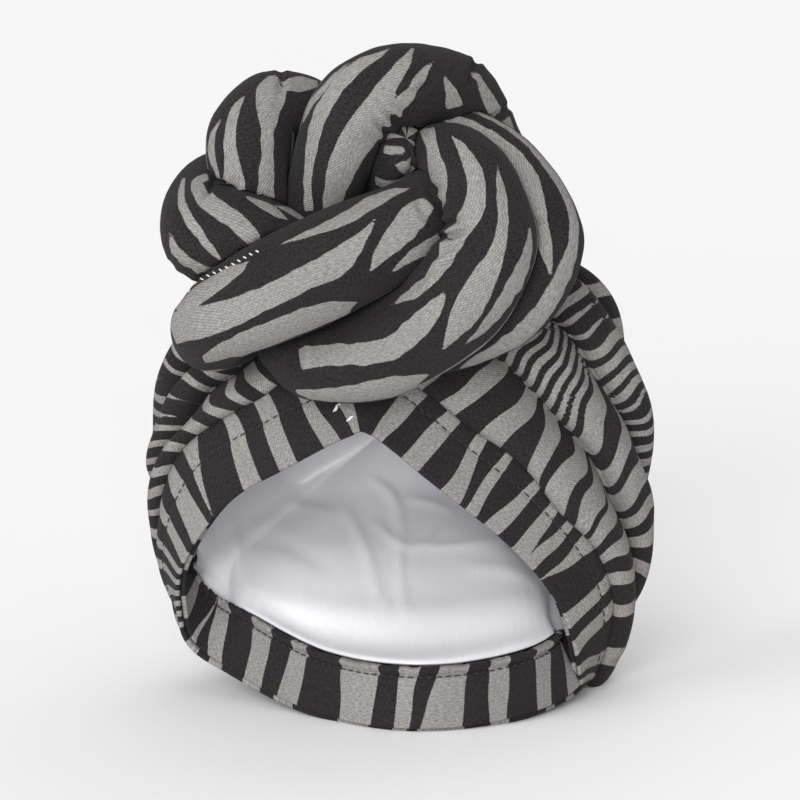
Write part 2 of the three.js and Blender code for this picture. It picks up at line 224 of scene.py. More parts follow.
# Knot strands, front-most first: x, y, z of the centre and the radius there
STRANDS = {
    "front_band": [
        (-72, 62, 165, 17), (-81, 40, 165.5, 17.5), (-74, 22, 175, 19.5), (-57, 14, 185, 21.8),
        (-30, 10, 199, 22.5), (-4, 14, 211, 20), (13, 26, 221, 17), (24, 44, 228, 14),
    ],
    "right_inner_loop": [
        (12, 48, 235, 11), (17, 33, 243, 13), (26, 20, 241, 15.5), (34, 10, 229, 18),
        (37, 7, 208, 20.5), (24, 10, 187, 24), (8, 16, 171, 22), (-14, 22, 158, 19.5),
        (-37, 30, 154, 16), (-50, 46, 158, 12),
    ],
    "knot_core": [(0, 74, 222, 20), (0, 60, 228, 19), (0, 46, 235, 16), (0, 36, 241, 13.5),
                  (1, 31, 245, 11)],
    "right_outer_loop": [
        (2, 62, 242, 13), (19, 52, 248, 15), (35, 42, 243, 15.5), (47, 34, 234, 15.5),
        (57, 30, 221, 15.5), (62, 27, 207, 15.5), (58, 27, 190, 15.5), (45, 30, 176, 15),
        (29, 36, 165, 14), (13, 50, 157, 12),
    ],
    "top_arch": [
        (-41, 62, 203, 13), (-34, 46, 224, 16), (-27, 34, 245, 17.5), (-19, 31, 262, 18.5),
        (-7, 34, 270, 18.5), (8, 42, 271, 18), (24, 54, 266, 17), (34, 66, 252, 15.5),
        (42, 79, 233, 14), (43, 90, 214, 12),
    ],
    "left_low_loop": [
        (-30, 47, 196, 13), (-47, 36, 203, 15.5), (-65, 33, 207.5, 19), (-79, 39, 208.5, 22.5),
        (-83, 54, 217, 19), (-77, 68, 225, 15), (-65, 81, 221, 12),
    ],
    "left_loop": [
        (-52, 66, 206, 15), (-58, 56, 220, 18.5), (-62, 50, 236, 20.5), (-62, 50, 250, 19.5),
        (-56, 55, 258, 17.5), (-45, 63, 258, 16), (-35, 73, 251, 14), (-29, 84, 234, 12.5),
        (-26, 92, 216, 11),
    ],
    "back_wrap": [
        (-68, 58, 184, 16), (-60, 74, 188, 19), (-37, 84, 198, 20), (-12, 83, 207, 21),
        (13, 77, 209, 20), (38, 66, 205, 18), (55, 50, 198, 15),
    ],
}
CLEAR = 0.35  # space kept between a strand and what it is pressed against
CREASE = 5.0  # how far from a contact a strand starts to turn in
CREASE_DEPTH = 0.25
CAST_SPARE = 1.0
LEAST_REACH = 0.2
SPINE_ROOM = 1.5  # how far outside everything else a strand's spine has to lie
END_LEANS = np.radians([20, 40, 60, 80])  # the rings of a strand's rounded end
END_LENGTH = 0.85  # length of that end, in radii

# Where the light stripes of the print lie, read off the photo. A chart is a window of the photo: its
# left and top in pixels of the photo, and its own pixels per pixel.
KNOT_CHART = (150.0, 40.0, 3.564)
LEFT_CHART = (140.0, 370.0, 5.6)
RIGHT_CHART = (330.0, 370.0, 4.48)
NAPE_CHART = (160.0, 0.0, 3.564)
CHART_MM = 0.12  # millimetres of cloth to a pixel of the knot's chart

# Pinched folds by strand: place in the knot's chart, direction across the folds in degrees, their spacing,
# height, and how far they reach across and along the folds
PINCHES = {
    "right_inner_loop": [
        (1085, 672, 70, 46, 1.5, 60, 55), (1050, 780, 60, 50, 1.1, 55, 45),
        (990, 870, 40, 70, 0.7, 70, 50), (560, 1120, 0, 60, 0.7, 50, 80), (1020, 560, 80, 60, 0.6, 60, 40),
    ],
    "top_arch": [
        (850, 300, 135, 50, 1.2, 70, 45), (955, 150, 60, 55, 0.9, 60, 50),
        (1155, 110, 20, 60, -1.4, 22, 70), (1240, 268, 60, 60, -1.2, 20, 60),
    ],
    "right_outer_loop": [
        (1368, 648, 80, 70, -1.6, 20, 60), (1230, 420, 45, 70, -0.8, 24, 50),
        (930, 300, 30, 60, 0.8, 60, 40),
    ],
    "left_low_loop": [(222, 515, 35, 60, -1.6, 22, 50), (120, 800, 40, 60, 0.6, 60, 50)],
    "left_loop": [(300, 540, 80, 60, 0.7, 40, 60), (470, 150, 0, 60, -1.2, 22, 50)],
    "front_band": [(1000, 600, 150, 60, 0.7, 60, 70), (90, 900, 45, 60, 0.6, 60, 60)],
    "knot_core": [(955, 450, 0, 40, 0.8, 30, 70)],
}
PINCH_GAIN = 1.7  # mm for each 1 in the heights above
PINCH_BEND = 0.002  # how much the folds curve

# Where charted blades and pinches show: least cosine between the cloth's way out and the camera, and its ease
BLADE_SHOWN = (0.1, 0.18)
PINCH_SHOWN = (-0.3, 0.4)

# Light blades on each strand: x, y and width along the middle of the blade, in the knot's chart
BLADES = {
    "front_band": [
        [(80, 1030, 110), (240, 990, 105), (400, 925, 85), (560, 845, 85), (670, 790, 95),
         (745, 715, 50), (808, 630, 0)],
        [(100, 960, 60), (200, 890, 60), (290, 830, 45), (355, 785, 0)],
        [(190, 1140, 30), (300, 1095, 75), (450, 1045, 100), (580, 1000, 105), (670, 965, 70),
         (738, 932, 0)],
        [(635, 1072, 8), (700, 1040, 45), (760, 995, 35), (830, 955, 0)],
        [(450, 732, 0), (560, 690, 22), (680, 640, 45), (790, 580, 45), (870, 545, 30), (930, 528, 0)],
        [(778, 835, 0), (820, 770, 50), (880, 700, 85), (940, 630, 95), (985, 580, 60)],
        [(853, 835, 0), (910, 785, 28), (970, 745, 45), (1035, 713, 60)],
    ],
    "right_inner_loop": [
        [(985, 315, 50), (1008, 390, 45), (1028, 470, 60), (1038, 540, 40), (1036, 600, 12),
         (1038, 625, 0)],
        [(1075, 338, 0), (1125, 410, 45), (1162, 500, 60), (1155, 600, 75), (1105, 680, 70),
         (1055, 765, 60), (1000, 845, 50), (930, 905, 40), (862, 945, 0)],
        [(1237, 445, 0), (1252, 540, 32), (1258, 650, 38), (1235, 760, 60), (1185, 860, 95),
         (1130, 960, 100), (1080, 1040, 55), (1042, 1110, 0)],
        [(1352, 670, 8), (1345, 750, 30), (1310, 850, 55), (1240, 960, 45), (1170, 1040, 25),
         (1120, 1083, 0)],
        [(530, 1135, 80), (650, 1122, 75), (760, 1118, 80), (860, 1098, 85), (940, 1035, 85),
         (1010, 960, 60), (1057, 888, 0)],
        [(520, 1250, 15), (600, 1265, 45), (720, 1262, 68), (830, 1242, 75), (920, 1222, 50),
         (1000, 1192, 0)],
        [(880, 1280, 10), (1000, 1235, 22), (1110, 1165, 16), (1220, 1075, 10), (1340, 930, 6)],
    ],
    "knot_core": [
        [(905, 322, 28), (930, 348, 30), (947, 380, 0)],
        [(835, 388, 26), (885, 398, 34), (938, 427, 0)],
        [(862, 420, 0), (900, 455, 35), (950, 495, 55), (985, 522, 50)],
        [(800, 505, 34), (850, 515, 32), (900, 524, 8)],
    ],
    "right_outer_loop": [
        [(970, 266, 0), (1060, 275, 38), (1140, 318, 60), (1230, 378, 72), (1310, 440, 72),
         (1360, 530, 72), (1383, 620, 60), (1405, 720, 50), (1420, 790, 30), (1431, 850, 0)],
        [(1090, 232, 4), (1220, 282, 14), (1340, 365, 16), (1440, 478, 26), (1497, 600, 30),
         (1508, 700, 32), (1488, 800, 50), (1430, 920, 62), (1345, 1025, 66), (1240, 1108, 60),
         (1150, 1155, 35), (1085, 1187, 0)],
    ],
    "top_arch": [
        [(720, 70, 0), (640, 150, 14), (570, 240, 16), (530, 320, 0)],
        [(862, 28, 0), (740, 95, 45), (655, 185, 50), (600, 285, 50), (572, 390, 42), (560, 490, 32),
         (566, 610, 30)],
        [(945, 20, 0), (905, 85, 45), (850, 160, 65), (815, 240, 110), (770, 310, 125), (715, 390, 115),
         (680, 470, 100), (655, 550, 75), (645, 615, 60)],
        [(1015, 75, 0), (978, 110, 25), (945, 165, 38), (905, 215, 45), (870, 260, 50)],
        [(1045, 120, 0), (1062, 165, 32), (1078, 205, 52), (1085, 240, 60)],
        [(1152, 105, 6), (1180, 165, 26), (1213, 225, 45), (1240, 270, 50)],
        [(1265, 285, 45), (1295, 330, 25), (1325, 365, 6)],
    ],
    "left_low_loop": [
        [(205, 490, 30), (165, 505, 35), (190, 560, 60), (240, 600, 65), (300, 640, 65), (350, 690, 60),
         (390, 740, 35)],
        [(120, 490, 10), (108, 560, 28), (130, 625, 36), (175, 690, 34), (225, 755, 24), (270, 800, 0)],
        [(72, 680, 10), (85, 735, 25), (120, 780, 35), (175, 815, 35), (240, 830, 12)],
        [(338, 556, 6), (400, 585, 28), (450, 615, 25), (497, 646, 0)],
        [(440, 590, 0), (500, 610, 20), (560, 635, 25), (615, 640, 15)],
    ],
    "left_loop": [
        [(262, 270, 0), (225, 350, 20), (225, 420, 22), (243, 480, 14), (258, 520, 0)],
        [(340, 185, 0), (305, 250, 32), (288, 340, 40), (295, 440, 55), (300, 500, 75), (300, 545, 80)],
        [(435, 128, 40), (432, 185, 110), (424, 250, 90), (418, 320, 50), (418, 420, 46),
         (414, 500, 55), (412, 570, 64)],
        [(480, 160, 40), (540, 160, 50), (595, 160, 20)],
        [(513, 330, 4), (522, 420, 6), (538, 520, 10), (548, 600, 10)],
    ],
    "back_wrap": [],
}

# Light stripes on the front of the cap, by band from the hem: where each one begins and ends along the fold,
# and along the far side of the band. Places are x + y in the right chart and y - x in the left one.
HEM_STRIPES_RIGHT = {
    0: [(450, 558, 405, 570), (715, 847, 717, 825), (1030, 1179, 950, 1017), (1229, 1315, 1152, 1208),
        (1380, 1495, 1420, 1480), (1618, 1745, 1585, 1650), (1740, 1820, 1735, 1790),
        (1890, 1900, 1872, 2000), (2145, 2235, 2150, 2227), (2307, 2390, 2300, 2360),
        (2445, 2490, 2480, 2515), (2515, 2540, 2545, 2570)],
    1: [(655, 783, 660, 780), (952, 1110, 955, 1055), (1337, 1440, 1102, 1235),
        (1492, 1680, 1365, 1485), (1775, 1863, 1535, 1680), (1905, 1985, 1705, 1815),
        (2040, 2090, 1900, 1990), (2150, 2210, 2080, 2140), (2305, 2355, 2230, 2290),
        (2455, 2500, 2400, 2450)],
    2: [(470, 512, 500, 528), (556, 602, 560, 590), (648, 688, 620, 648), (735, 780, 678, 708),
        (828, 866, 736, 764), (910, 958, 795, 826), (1002, 1040, 855, 880), (1086, 1134, 912, 944),
        (1180, 1226, 976, 1010), (1274, 1330, 1040, 1072), (1392, 1536, 1110, 1198),
        (1633, 1728, 1345, 1448), (1775, 1888, 1570, 1670), (1935, 1995, 1760, 1830),
        (2040, 2085, 1910, 1960), (2125, 2170, 2030, 2080)],
}
HEM_STRIPES_LEFT = {
    0: [(-727, -605, -870, -790), (-365, -213, -600, -457), (-65, 98, -290, -200), (412, 420, 20, 185),
        (475, 670, 330, 425), (745, 838, 590, 660), (880, 920, 780, 830), (960, 992, 900, 945),
        (1030, 1062, 1010, 1050), (1092, 1122, 1095, 1130), (1150, 1180, 1165, 1195),
        (1208, 1234, 1225, 1250)],
}
# On the nape band: the same, in x of its chart, along the stitched edge and then along the fold
NAPE_STRIPES = [
    (110, 150, 85, 130), (185, 240, 170, 220), (330, 395, 300, 360), (475, 530, 415, 485),
    (650, 785, 640, 750), (860, 930, 830, 880), (1000, 1100, 920, 1075), (1175, 1245, 1175, 1240),
    (1340, 1390, 1345, 1395), (1425, 1480, 1455, 1510),
]

# How far round the opening each chart reaches, on the cap and on the facing
RIGHT_SHOWN = (-1.0, 4.7)
LEFT_SHOWN = (10.5, 17.0)
NAPE_SHOWN = (5.6, 10.2)
FACING_SHOWN = (4.7, 10.2)
STITCHED_ROW = FACING_ROWS - 9  # the facing's row at the stitches

# Stripes by band from the hem: mean width, how uneven their edges are, and how far a pleat sways them. From
# BACK_BAND on they run straight across the back, with their own spacing, slope and share of light cloth.
STRIPE_WIDTH = (7.5, 6.5, 5.2, 4.2)
STRIPE_WOBBLE = (0.9, 1.0, 1.7, 2.0)
SWAY = 2.0
BACK_BAND = 4
BACK_PERIOD = 17.0
BACK_SLOPE = 0.35
BACK_LIGHT = -0.1
FACING_STRIPE = 9.0
STRAND_STRIPES = 4.5  # stripes round a strand where no chart says
STRAND_BLADE = 120.0  # length of such a stripe in mm
STRAND_TAPER = 0.55
STRAND_SHIFT = 7.0
STRAND_LIGHT = -0.15
STRAND_ROUND = 60.0  # mm that stand for one turn, for their wobble
CAP_SEED = 200
FACING_SEED = 77
GAP_SEED = 31

# Seeded stripes, in mean widths: half widths, tapers from one end to the other, lean, and dark spaces
HALF_WIDTHS = (0.32, 0.6)
TAPERS = (1.0, 1.0, 0.7, 0.1, 1.3)
LEAN = 0.35
SPACES = (0.8, 1.4)
WIDE_GAP = 3.5  # dark spaces wider than this between charted stripes get seeded ones

# Stripe distances where there is no stripe: on the cap, on a strand, least on a strand, and at the pole
NO_STRIPE = -50.0
NO_BLADE = -30.0
BLADE_FLOOR = -6.0
TIP_STRIPE = -5.0

# Soft folds of the satin: a line in pixels of the photo, its width in pixels and its height toward the eye
SATIN_FOLDS = [
    ([(346, 514), (358, 535), (368, 560), (380, 604)], 6, 1.3),
    ([(372, 480), (388, 494), (397, 510), (402, 538)], 6, 1.3),
    ([(400, 546), (401, 580), (405, 616)], 5, 1.1),
    ([(231, 526), (236, 550), (242, 575)], 6, 0.9),
    ([(408, 502), (428, 506), (450, 513)], 5, 0.8),
    ([(434, 534), (420, 556), (408, 582)], 4, 0.7),
    ([(398, 548), (450, 549), (500, 541)], 5, 0.8),
    ([(376, 526), (388, 538), (402, 549)], 4, 0.8),
    ([(284, 502), (305, 508), (332, 513)], 6, 0.6),
    ([(205, 584), (270, 601), (340, 613), (420, 616), (480, 610), (545, 597)], 14, 1.1),
    ([(225, 604), (300, 628), (370, 640), (440, 642), (500, 635), (548, 622)], 15, -2.2),
    ([(470, 570), (500, 572), (535, 583)], 8, 0.9),
    ([(250, 540), (290, 548), (330, 570)], 10, -0.8),
    ([(290, 480), (320, 500), (350, 500)], 12, -0.8),
]
FOLD_GAIN = 1.2  # mm for each 1 in the heights above
FOLD_ENDS = 2  # samples past the ends of a line, where its fold fades out
SATIN_STRETCH = (1.0, 0.4, 0.45)
SATIN_EASE = 0.05
LAST_PART = 0.8
SATIN_MIDDLE_ROW = 20  # the row whose length the satin's weave follows

# White thread: the overlocked edge of the front band in the knot's chart, its bars, and the tacks at the peak
# in pixels of the photo, each sewn twice
OVERLOCK = [(112, 872), (167, 859), (221, 833), (284, 805), (354, 766), (385, 752)]
OVERLOCK_STITCHES = 13
PATH_SAMPLES = 60
OVERLOCK_SAMPLES = 200
OVERLOCK_START = 2
OVERLOCK_SWING = 5.0
OVERLOCK_LEAN = 0.7
OVERLOCK_LIFT = 0.2
TACKS = [((338, 404), (333, 412)), ((351.5, 416), (346.5, 421.5))]
TACK_LIFT = 0.5
TACK_STEP = np.array([0.9, 0.0, 0.3])
BAR_POINTS = 7
WHITE_RADIUS = 0.36
SIGHT_LOWERED = range(0, 12, 2)  # pixels that a line of sight is lowered by, until it meets the cloth

# Colours in sRGB: for the light and the dark print the two ends of its yarn, its weave and its flecks
PALE = ((118, 115, 113), (163, 160, 157), (110, 107, 105), (72, 69, 68))
DARK = ((15, 13, 14), (44, 41, 43), (50, 46, 49), (92, 88, 91))
WORN = (60, 57, 58)
SATIN_SHADES = ((205, 204, 208), (211, 210, 214))
SATIN_CLOUD = (196, 196, 202)
DARK_SHADES = ((26, 24, 26), (48, 45, 48))
WHITE_SHADES = ((200, 199, 200), (232, 231, 232))
FLOOR_SHADES = ((249, 249, 251), (252, 252, 253))
TWILL = math.radians(38)

# The camera of the photo, in metres, and what follows from it in the lip frame
LOOK_DOWN = math.radians(10.0)
CAMERA_AT = (0.0, -2.0026, 0.4773)
SENSOR = 36.0
LENS = 209.3
SHIFT_Y = 0.017
FRAME_PIXELS = 800
PHOTO_SCALE = LENS / SENSOR * FRAME_PIXELS
PHOTO_MIDDLE = np.array([0.5, 0.5 + SHIFT_Y]) * FRAME_PIXELS
EYE = np.array(CAMERA_AT) / MM + ORIGIN
ACROSS = np.array([1.0, 0.0, 0.0])
AHEAD = np.array([0.0, math.cos(LOOK_DOWN), -math.sin(LOOK_DOWN)])
UP = np.array([0.0, math.sin(LOOK_DOWN), math.cos(LOOK_DOWN)])
OBJECT_MIDDLE = np.array([0.0, 40.0, 130.0])
TO_CAMERA = (EYE - OBJECT_MIDDLE) / np.linalg.norm(EYE - OBJECT_MIDDLE)

# The stage: half width of the floor in metres, and lamps with their name, angle to the left of the camera,
# angle above the floor, power and spread
FLOOR = 14.0
LAMPS = [("front", 10, 14, 2.9, 34), ("side", 62, 30, 0.8, 40), ("back", 195, 52, 0.5, 50)]
LAMP_DISTANCE = 3.0
WORLD_STRENGTH = 0.5


def unit(v):
    return v / np.maximum(np.linalg.norm(v, axis=-1, keepdims=True), TINY)


def smooth(x):
    """A soft step from 0 to 1."""
    x = np.clip(x, 0, 1)
    return x * x * (3 - 2 * x)


def ridge(x, place, width, height=1.0):
    """A soft ridge across x."""
    return height * np.exp(-(((x - place) / width) ** 2))


def last_part(t):
    """A soft step over the last part of the way."""
    return smooth((t - LAST_PART) / (1 - LAST_PART))


def between(at, low, high):
    """Whether places round the opening lie between two others, also past the peak."""
    return (at > low) & (at < high) if low < high else (at > low) | (at < high)


def wobble(name, points, k=0):
    """A smooth seeded wobble over places in space or on the cloth."""
    height, length, seed = WOBBLES[name]
    rng = np.random.default_rng(seed + k)
    points = np.asarray(points, float)
    total = np.zeros(points.shape[:-1])
    for _ in range(WAVES):
        heading = rng.normal(size=points.shape[-1])
        heading *= math.tau * rng.uniform(*WAVE_SPREAD) / (length * np.linalg.norm(heading))
        total += np.sin(points @ heading + rng.uniform(0, math.tau))
    return height * (total * math.sqrt(2 / WAVES) * WAVE_GAIN)


def places_round(columns):
    return np.arange(columns) * ROUND / columns


def on_circle(at):
    """Places round the opening as points of a circle, so that a wobble over them closes."""
    turn = at * math.tau / ROUND
    return np.stack([np.cos(turn), np.sin(turn)], axis=1)


def cubic(q, r, slope_in, slope_out, t):
    """The smooth curve from q to r with these slopes at its ends."""
    curve = 3 * (r - q) - 2 * slope_in - slope_out
    twist = 2 * (q - r) + slope_in + slope_out
    return q + slope_in * t + curve * t**2 + twist * t**3


def ring(name, at):
    """Periodic Catmull-Rom through one column of the sections."""
    table = SECTIONS[name]
    base = np.floor(at).astype(int)
    p, q, r, s = (table[(base + k) % ROUND] for k in (-1, 0, 1, 2))
    return cubic(q, r, (r - p) / 2, (s - q) / 2, (at - base)[:, None])


def blend(name, at):
    """One column of the sections in straight steps."""
    table = SECTIONS[name][:, 0]
    base = np.floor(at).astype(int)
    low, high = table[base % ROUND], table[(base + 1) % ROUND]
    return low + (high - low) * (at - base)


def spline(control, samples):
    """Centripetal Catmull-Rom through control[..., n, k], sampled evenly in its own parameter."""
    control = np.asarray(control, float)
    first = 2 * control[..., :1, :] - control[..., 1:2, :]
    last = 2 * control[..., -1:, :] - control[..., -2:-1, :]
    padded = np.concatenate([first, control, last], axis=-2)
    spans = control.shape[-2] - 1
    place = np.linspace(0, spans, samples)
    span = np.minimum(place.astype(int), spans - 1)
    p, q, r, s = (padded[..., span + k, :] for k in range(4))
    steps = (q - p, r - q, s - r)
    a, b, c = (np.maximum(np.linalg.norm(step, axis=-1, keepdims=True), SMALL) ** 0.5 for step in steps)
    slope_in = ((q - p) / a - (r - p) / (a + b) + (r - q) / b) * b
    slope_out = ((r - q) / b - (s - q) / (b + c) + (s - r) / c) * b
    return cubic(q, r, slope_in, slope_out, (place - span)[:, None])


def run_along(line, closed=False):
    """Distance along a line at each of its points. A closed line has its whole length as one value more."""
    after = np.roll(line, -1, axis=0) if closed else line[1:]
    steps = np.linalg.norm(after - line[: len(after)], axis=1)
    return np.concatenate([[0], np.cumsum(steps)])


def at_places(places, run, values):
    """Rows of values that stand at the distances of run, read off at places."""
    return np.stack([np.interp(places, run, column) for column in values.T], axis=1)


def by_length(lines, samples=LINE_SAMPLES):
    """Each line of lines[n, m, k] again with evenly spaced points, and the lengths."""
    runs = [run_along(line) for line in lines]
    even = [at_places(np.linspace(0, run[-1], samples), run, line) for run, line in zip(runs, lines)]
    return np.stack(even), np.array([run[-1] for run in runs])


class Swept:
    """The surface swept by one line per place round the opening."""

    def __init__(self, line, at):
        self.points, self.length = by_length(line(at))
        before = by_length(line(at - SWEEP_STEP))[0]
        after = by_length(line(at + SWEEP_STEP))[0]
        self.tangents = unit(np.gradient(self.points, axis=1))
        self.normals = unit(np.cross(after - before, self.tangents))
        last = int(STEADY_NORMALS * (LINE_SAMPLES - 1))
        self.normals[:, last:] = self.normals[:, last : last + 1]

    def pick(self, values, distance):
        """Values at a distance along each line."""
        place = np.clip(np.broadcast_to(distance, self.length.shape) / self.length, 0, 1) * (LINE_SAMPLES - 1)
        low = np.minimum(place.astype(int), LINE_SAMPLES - 2)
        lines = np.arange(len(values))
        part = (place - low)[:, None]
        return values[lines, low] * (1 - part) + values[lines, low + 1] * part

    def offset(self, distance, out):
        """Points at a distance along each line, moved out along the normals."""
        out = np.broadcast_to(out, self.length.shape)
        return self.pick(self.points, distance) + self.pick(self.normals, distance) * out[:, None]


def hem_direction(at, name):
    """The way that the hem or the facing leaves the folded edge."""
    tangent = unit(ring("edge", at + EDGE_STEP) - ring("edge", at - EDGE_STEP))
    outward = unit(np.stack([-tangent[:, 2], np.zeros(len(at)), tangent[:, 0]], axis=1))
    tilt = ring("tilt", at)[:, 0]
    if name == "facing":
        for heel, across, up, reach in HEELS:
            near = ridge(at, heel, reach)[:, None]
            outward = unit(outward * (1 - near) - np.array([across, 0, up]) * near)
        tilt = np.minimum(ring("facing", at)[:, 0], tilt - FACING_SPREAD)
    tilt = np.radians(tilt)[:, None]
    return unit(outward * np.sin(tilt) + BACKWARD * np.cos(tilt))


def line_to_pole(rows, side, pole):
    """A smooth line through rows and the widest point to the pole."""
    rows = rows + [side, side + (pole - side) * POLE_SHARE, np.broadcast_to(pole, side.shape)]
    return spline(np.stack(rows, axis=1), LINE_SAMPLES)


def cap_line(at):
    edge = ring("edge", at)
    hem = HEM * hem_direction(at, "tilt")
    return line_to_pole([edge, edge + HEM_MIDDLE * hem, edge + hem], ring("side", at), POLE)


def facing_ends(at):
    start = Swept(cap_line, at).offset(FACING_INSET, -(CLOTH + GAP))
    return start, start + FACING_WIDTH * hem_direction(at, "facing")


def facing_line(at):
    start, end = facing_ends(at)
    share = np.linspace(0, 1, LINE_SAMPLES)[None, :, None]
    return start[:, None] + (end - start)[:, None] * share


def lining_line(at):
    start = facing_ends(at)[1] + GAP * hem_direction(at, "facing")
    nape = smooth((at - NAPE[0]) / NAPE_EASE) * smooth((NAPE[1] - at) / NAPE_EASE)
    around = sum(hem_direction(at + step, "facing") for step in LEAD_SPREAD)
    lead = unit(unit(around) + NAPE_LEAN * nape[:, None] * BACKWARD)
    return line_to_pole([start, start + LINING_LEAD * lead], ring("satin", at), LINING_POLE)


def in_photo(points):
    """Where points in the lip frame fall in the photo, in pixels."""
    away = np.asarray(points) - EYE
    flat = np.stack([away @ ACROSS, -(away @ UP)], axis=-1) / (away @ AHEAD)[..., None]
    return PHOTO_MIDDLE + PHOTO_SCALE * flat


def in_chart(points, chart):
    left, top, scale = chart
    return (in_photo(points) - np.array([left, top])) * scale


def sight(pixel):
    """The direction from the eye through a pixel of the photo."""
    x, y = (pixel - PHOTO_MIDDLE) / PHOTO_SCALE
    return unit(AHEAD + x * ACROSS - y * UP)


def link(name, data):
    obj = bpy.data.objects.new(name, data)
    bpy.context.scene.collection.objects.link(obj)
    return obj


def mesh_object(name, points, faces, attributes, material):
    """An object from points in the lip frame; attributes are floats or vectors per point."""
    mesh = bpy.data.meshes.new(name)
    mesh.from_pydata(((points - ORIGIN) * MM).tolist(), [], faces)
    for key, values in attributes.items():
        values = np.asarray(values, np.float32)
        kind, field = ("FLOAT", "value") if values.ndim == 1 else ("FLOAT_VECTOR", "vector")
        mesh.attributes.new(key, kind, "POINT").data.foreach_set(field, values.ravel())
    mesh.polygons.foreach_set("use_smooth", np.ones(len(mesh.polygons), bool))
    mesh.materials.append(material)
    mesh.update()
    obj = link(name, mesh)
    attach(obj, "root")
    return obj


def join_faces(low, high, columns):
    """Quads from the ring of points that starts at low to the one that starts at high."""
    here = np.arange(columns)
    there = (here + 1) % columns
    return np.stack([low + here, low + there, high + there, high + here], axis=1).tolist()


def grid_faces(rows, columns, start=0, flip=False):
    """Quads of a stack of closed rings, rows by columns points."""
    faces = []
    for low in range(start, start + (rows - 1) * columns, columns):
        high = low + columns
        faces += join_faces(high, low, columns) if flip else join_faces(low, high, columns)
    return faces


def fan_faces(start, columns, tip, flip=False):
    step = -1 if flip else 1
    return [(start + c, start + (c + step) % columns, tip) for c in range(columns)]


def two_sided(outer, inner):
    """Points of the outside and the inside of a cloth, and faces that join the two along their first rows."""
    rows, columns = outer.shape[:2]
    start = rows * columns
    faces = grid_faces(rows, columns) + grid_faces(rows, columns, start, flip=True)
    return np.concatenate([outer, inner]).reshape(-1, 3), faces + join_faces(start, 0, columns)


def cloth_places(u, v):
    """Places on the flat cloth in mm, which the weave follows."""
    u, v = np.broadcast_arrays(u, v)
    return np.stack([u, v, np.zeros(u.shape)], axis=-1)


# Materials


class Nodes:
    """Short hand for building one material's nodes."""

    def __init__(self, name):
        self.material = bpy.data.materials.new(name)
        self.material.use_nodes = True
        self.tree = self.material.node_tree
        self.shader = self.tree.nodes["Principled BSDF"]

    def put(self, value, socket):
        if hasattr(value, "is_linked"):
            self.tree.links.new(value, socket)
        else:
            socket.default_value = value

    def add(self, kind, output, inputs, **settings):
        """A node with its settings and inputs. Gives the output that is asked for."""
        node = self.tree.nodes.new("ShaderNode" + kind)
        for key, value in settings.items():
            setattr(node, key, value)
        for key, value in inputs.items():
            self.put(value, node.inputs[key])
        return node.outputs[output]

    def attribute(self, name, output):
        return self.add("Attribute", output, {}, attribute_name=name)

    def math(self, operation, a, b):
        return self.add("Math", 0, {0: a, 1: b}, operation=operation)

    def total(self, parts):
        """The sum of heights, each multiplied by its share."""
        result = 0.0
        for height, share in parts:
            result = self.math("ADD", result, self.math("MULTIPLY", height, share))
        return result

    def mix(self, factor, a, b):
        return self.add("Mix", 2, {0: factor, 6: a, 7: b}, data_type="RGBA")

    def mapping(self, vector, **inputs):
        return self.add("Mapping", 0, {"Vector": vector, **inputs})

    def noise(self, vector, scale, detail=2.0):
        return self.add("TexNoise", "Fac", {"Vector": vector, "Scale": scale, "Detail": detail})

    def ramp(self, value, low, high, to_high=1.0):
        """A soft step from 0 where value is low to to_high where it is high."""
        ends = {"Value": value, "From Min": low, "From Max": high, "To Min": 0.0, "To Max": to_high}
        return self.add("MapRange", "Result", ends, interpolation_type="SMOOTHSTEP")

    def bump(self, height, strength, distance):
        return self.add("Bump", "Normal", {"Height": height, "Strength": strength, "Distance": distance})

    def set(self, **values):
        for key, value in values.items():
            self.put(value, self.shader.inputs[key.replace("_", " ")])


def linear(srgb):
    """Linear colour from 0 to 255 sRGB values."""
    parts = [v / 255 for v in srgb]
    return tuple(v / 12.92 if v < 0.04045 else ((v + 0.055) / 1.055) ** 2.4 for v in parts) + (1.0,)


def striped_material():
    n = Nodes("striped_cloth_print")
    cloth = n.attribute("cloth", "Vector")
    fray = n.math("MULTIPLY", n.math("SUBTRACT", n.noise(cloth, 1.3, 3.0), 0.5), 0.7)
    light = n.ramp(n.math("ADD", n.attribute("stripe", "Fac"), fray), -0.2, 0.2)
    slub = n.noise(n.mapping(cloth, Scale=(0.55, 1.7, 1.0)), 1.0, 3.0)
    cross = n.noise(n.mapping(cloth, Scale=(1.9, 0.5, 1.0)), 1.1, 3.0)
    fleck = n.noise(cloth, 2.0)
    patch = n.noise(cloth, 0.035)
    crepe = n.noise(cloth, 0.2, 3.0)
    bias = n.mapping(cloth, Rotation=(0.0, 0.0, TWILL))
    weave = n.add("TexWave", "Fac", {"Vector": bias, "Scale": 0.36, "Distortion": 2.5})
    tones = []
    for yarn, colours, share, flecks in ((slub, PALE, 0.55, (0.62, 0.76)), (cross, DARK, 0.35, (0.64, 0.8))):
        low, high, woven, flecked = (linear(colour) for colour in colours)
        tone = n.mix(n.ramp(yarn, 0.3, 0.7), low, high)
        tone = n.mix(n.ramp(weave, 0.1, 0.9, share), tone, woven)
        tones.append(n.mix(n.ramp(fleck, *flecks, share), tone, flecked))
    pale, dark = tones
    colour = n.mix(n.ramp(patch, 0.3, 0.7, 0.1), n.mix(light, dark, pale), linear(WORN))
    n.set(Base_Color=colour, Roughness=0.9, Specular_IOR_Level=0.12, Sheen_Weight=0.03, Sheen_Roughness=0.5)
    relief = n.total([(weave, 0.5), (slub, 0.6), (cross, 0.6), (crepe, 2.4)])
    n.set(Normal=n.bump(relief, 0.6, 0.0005))
    return n.material


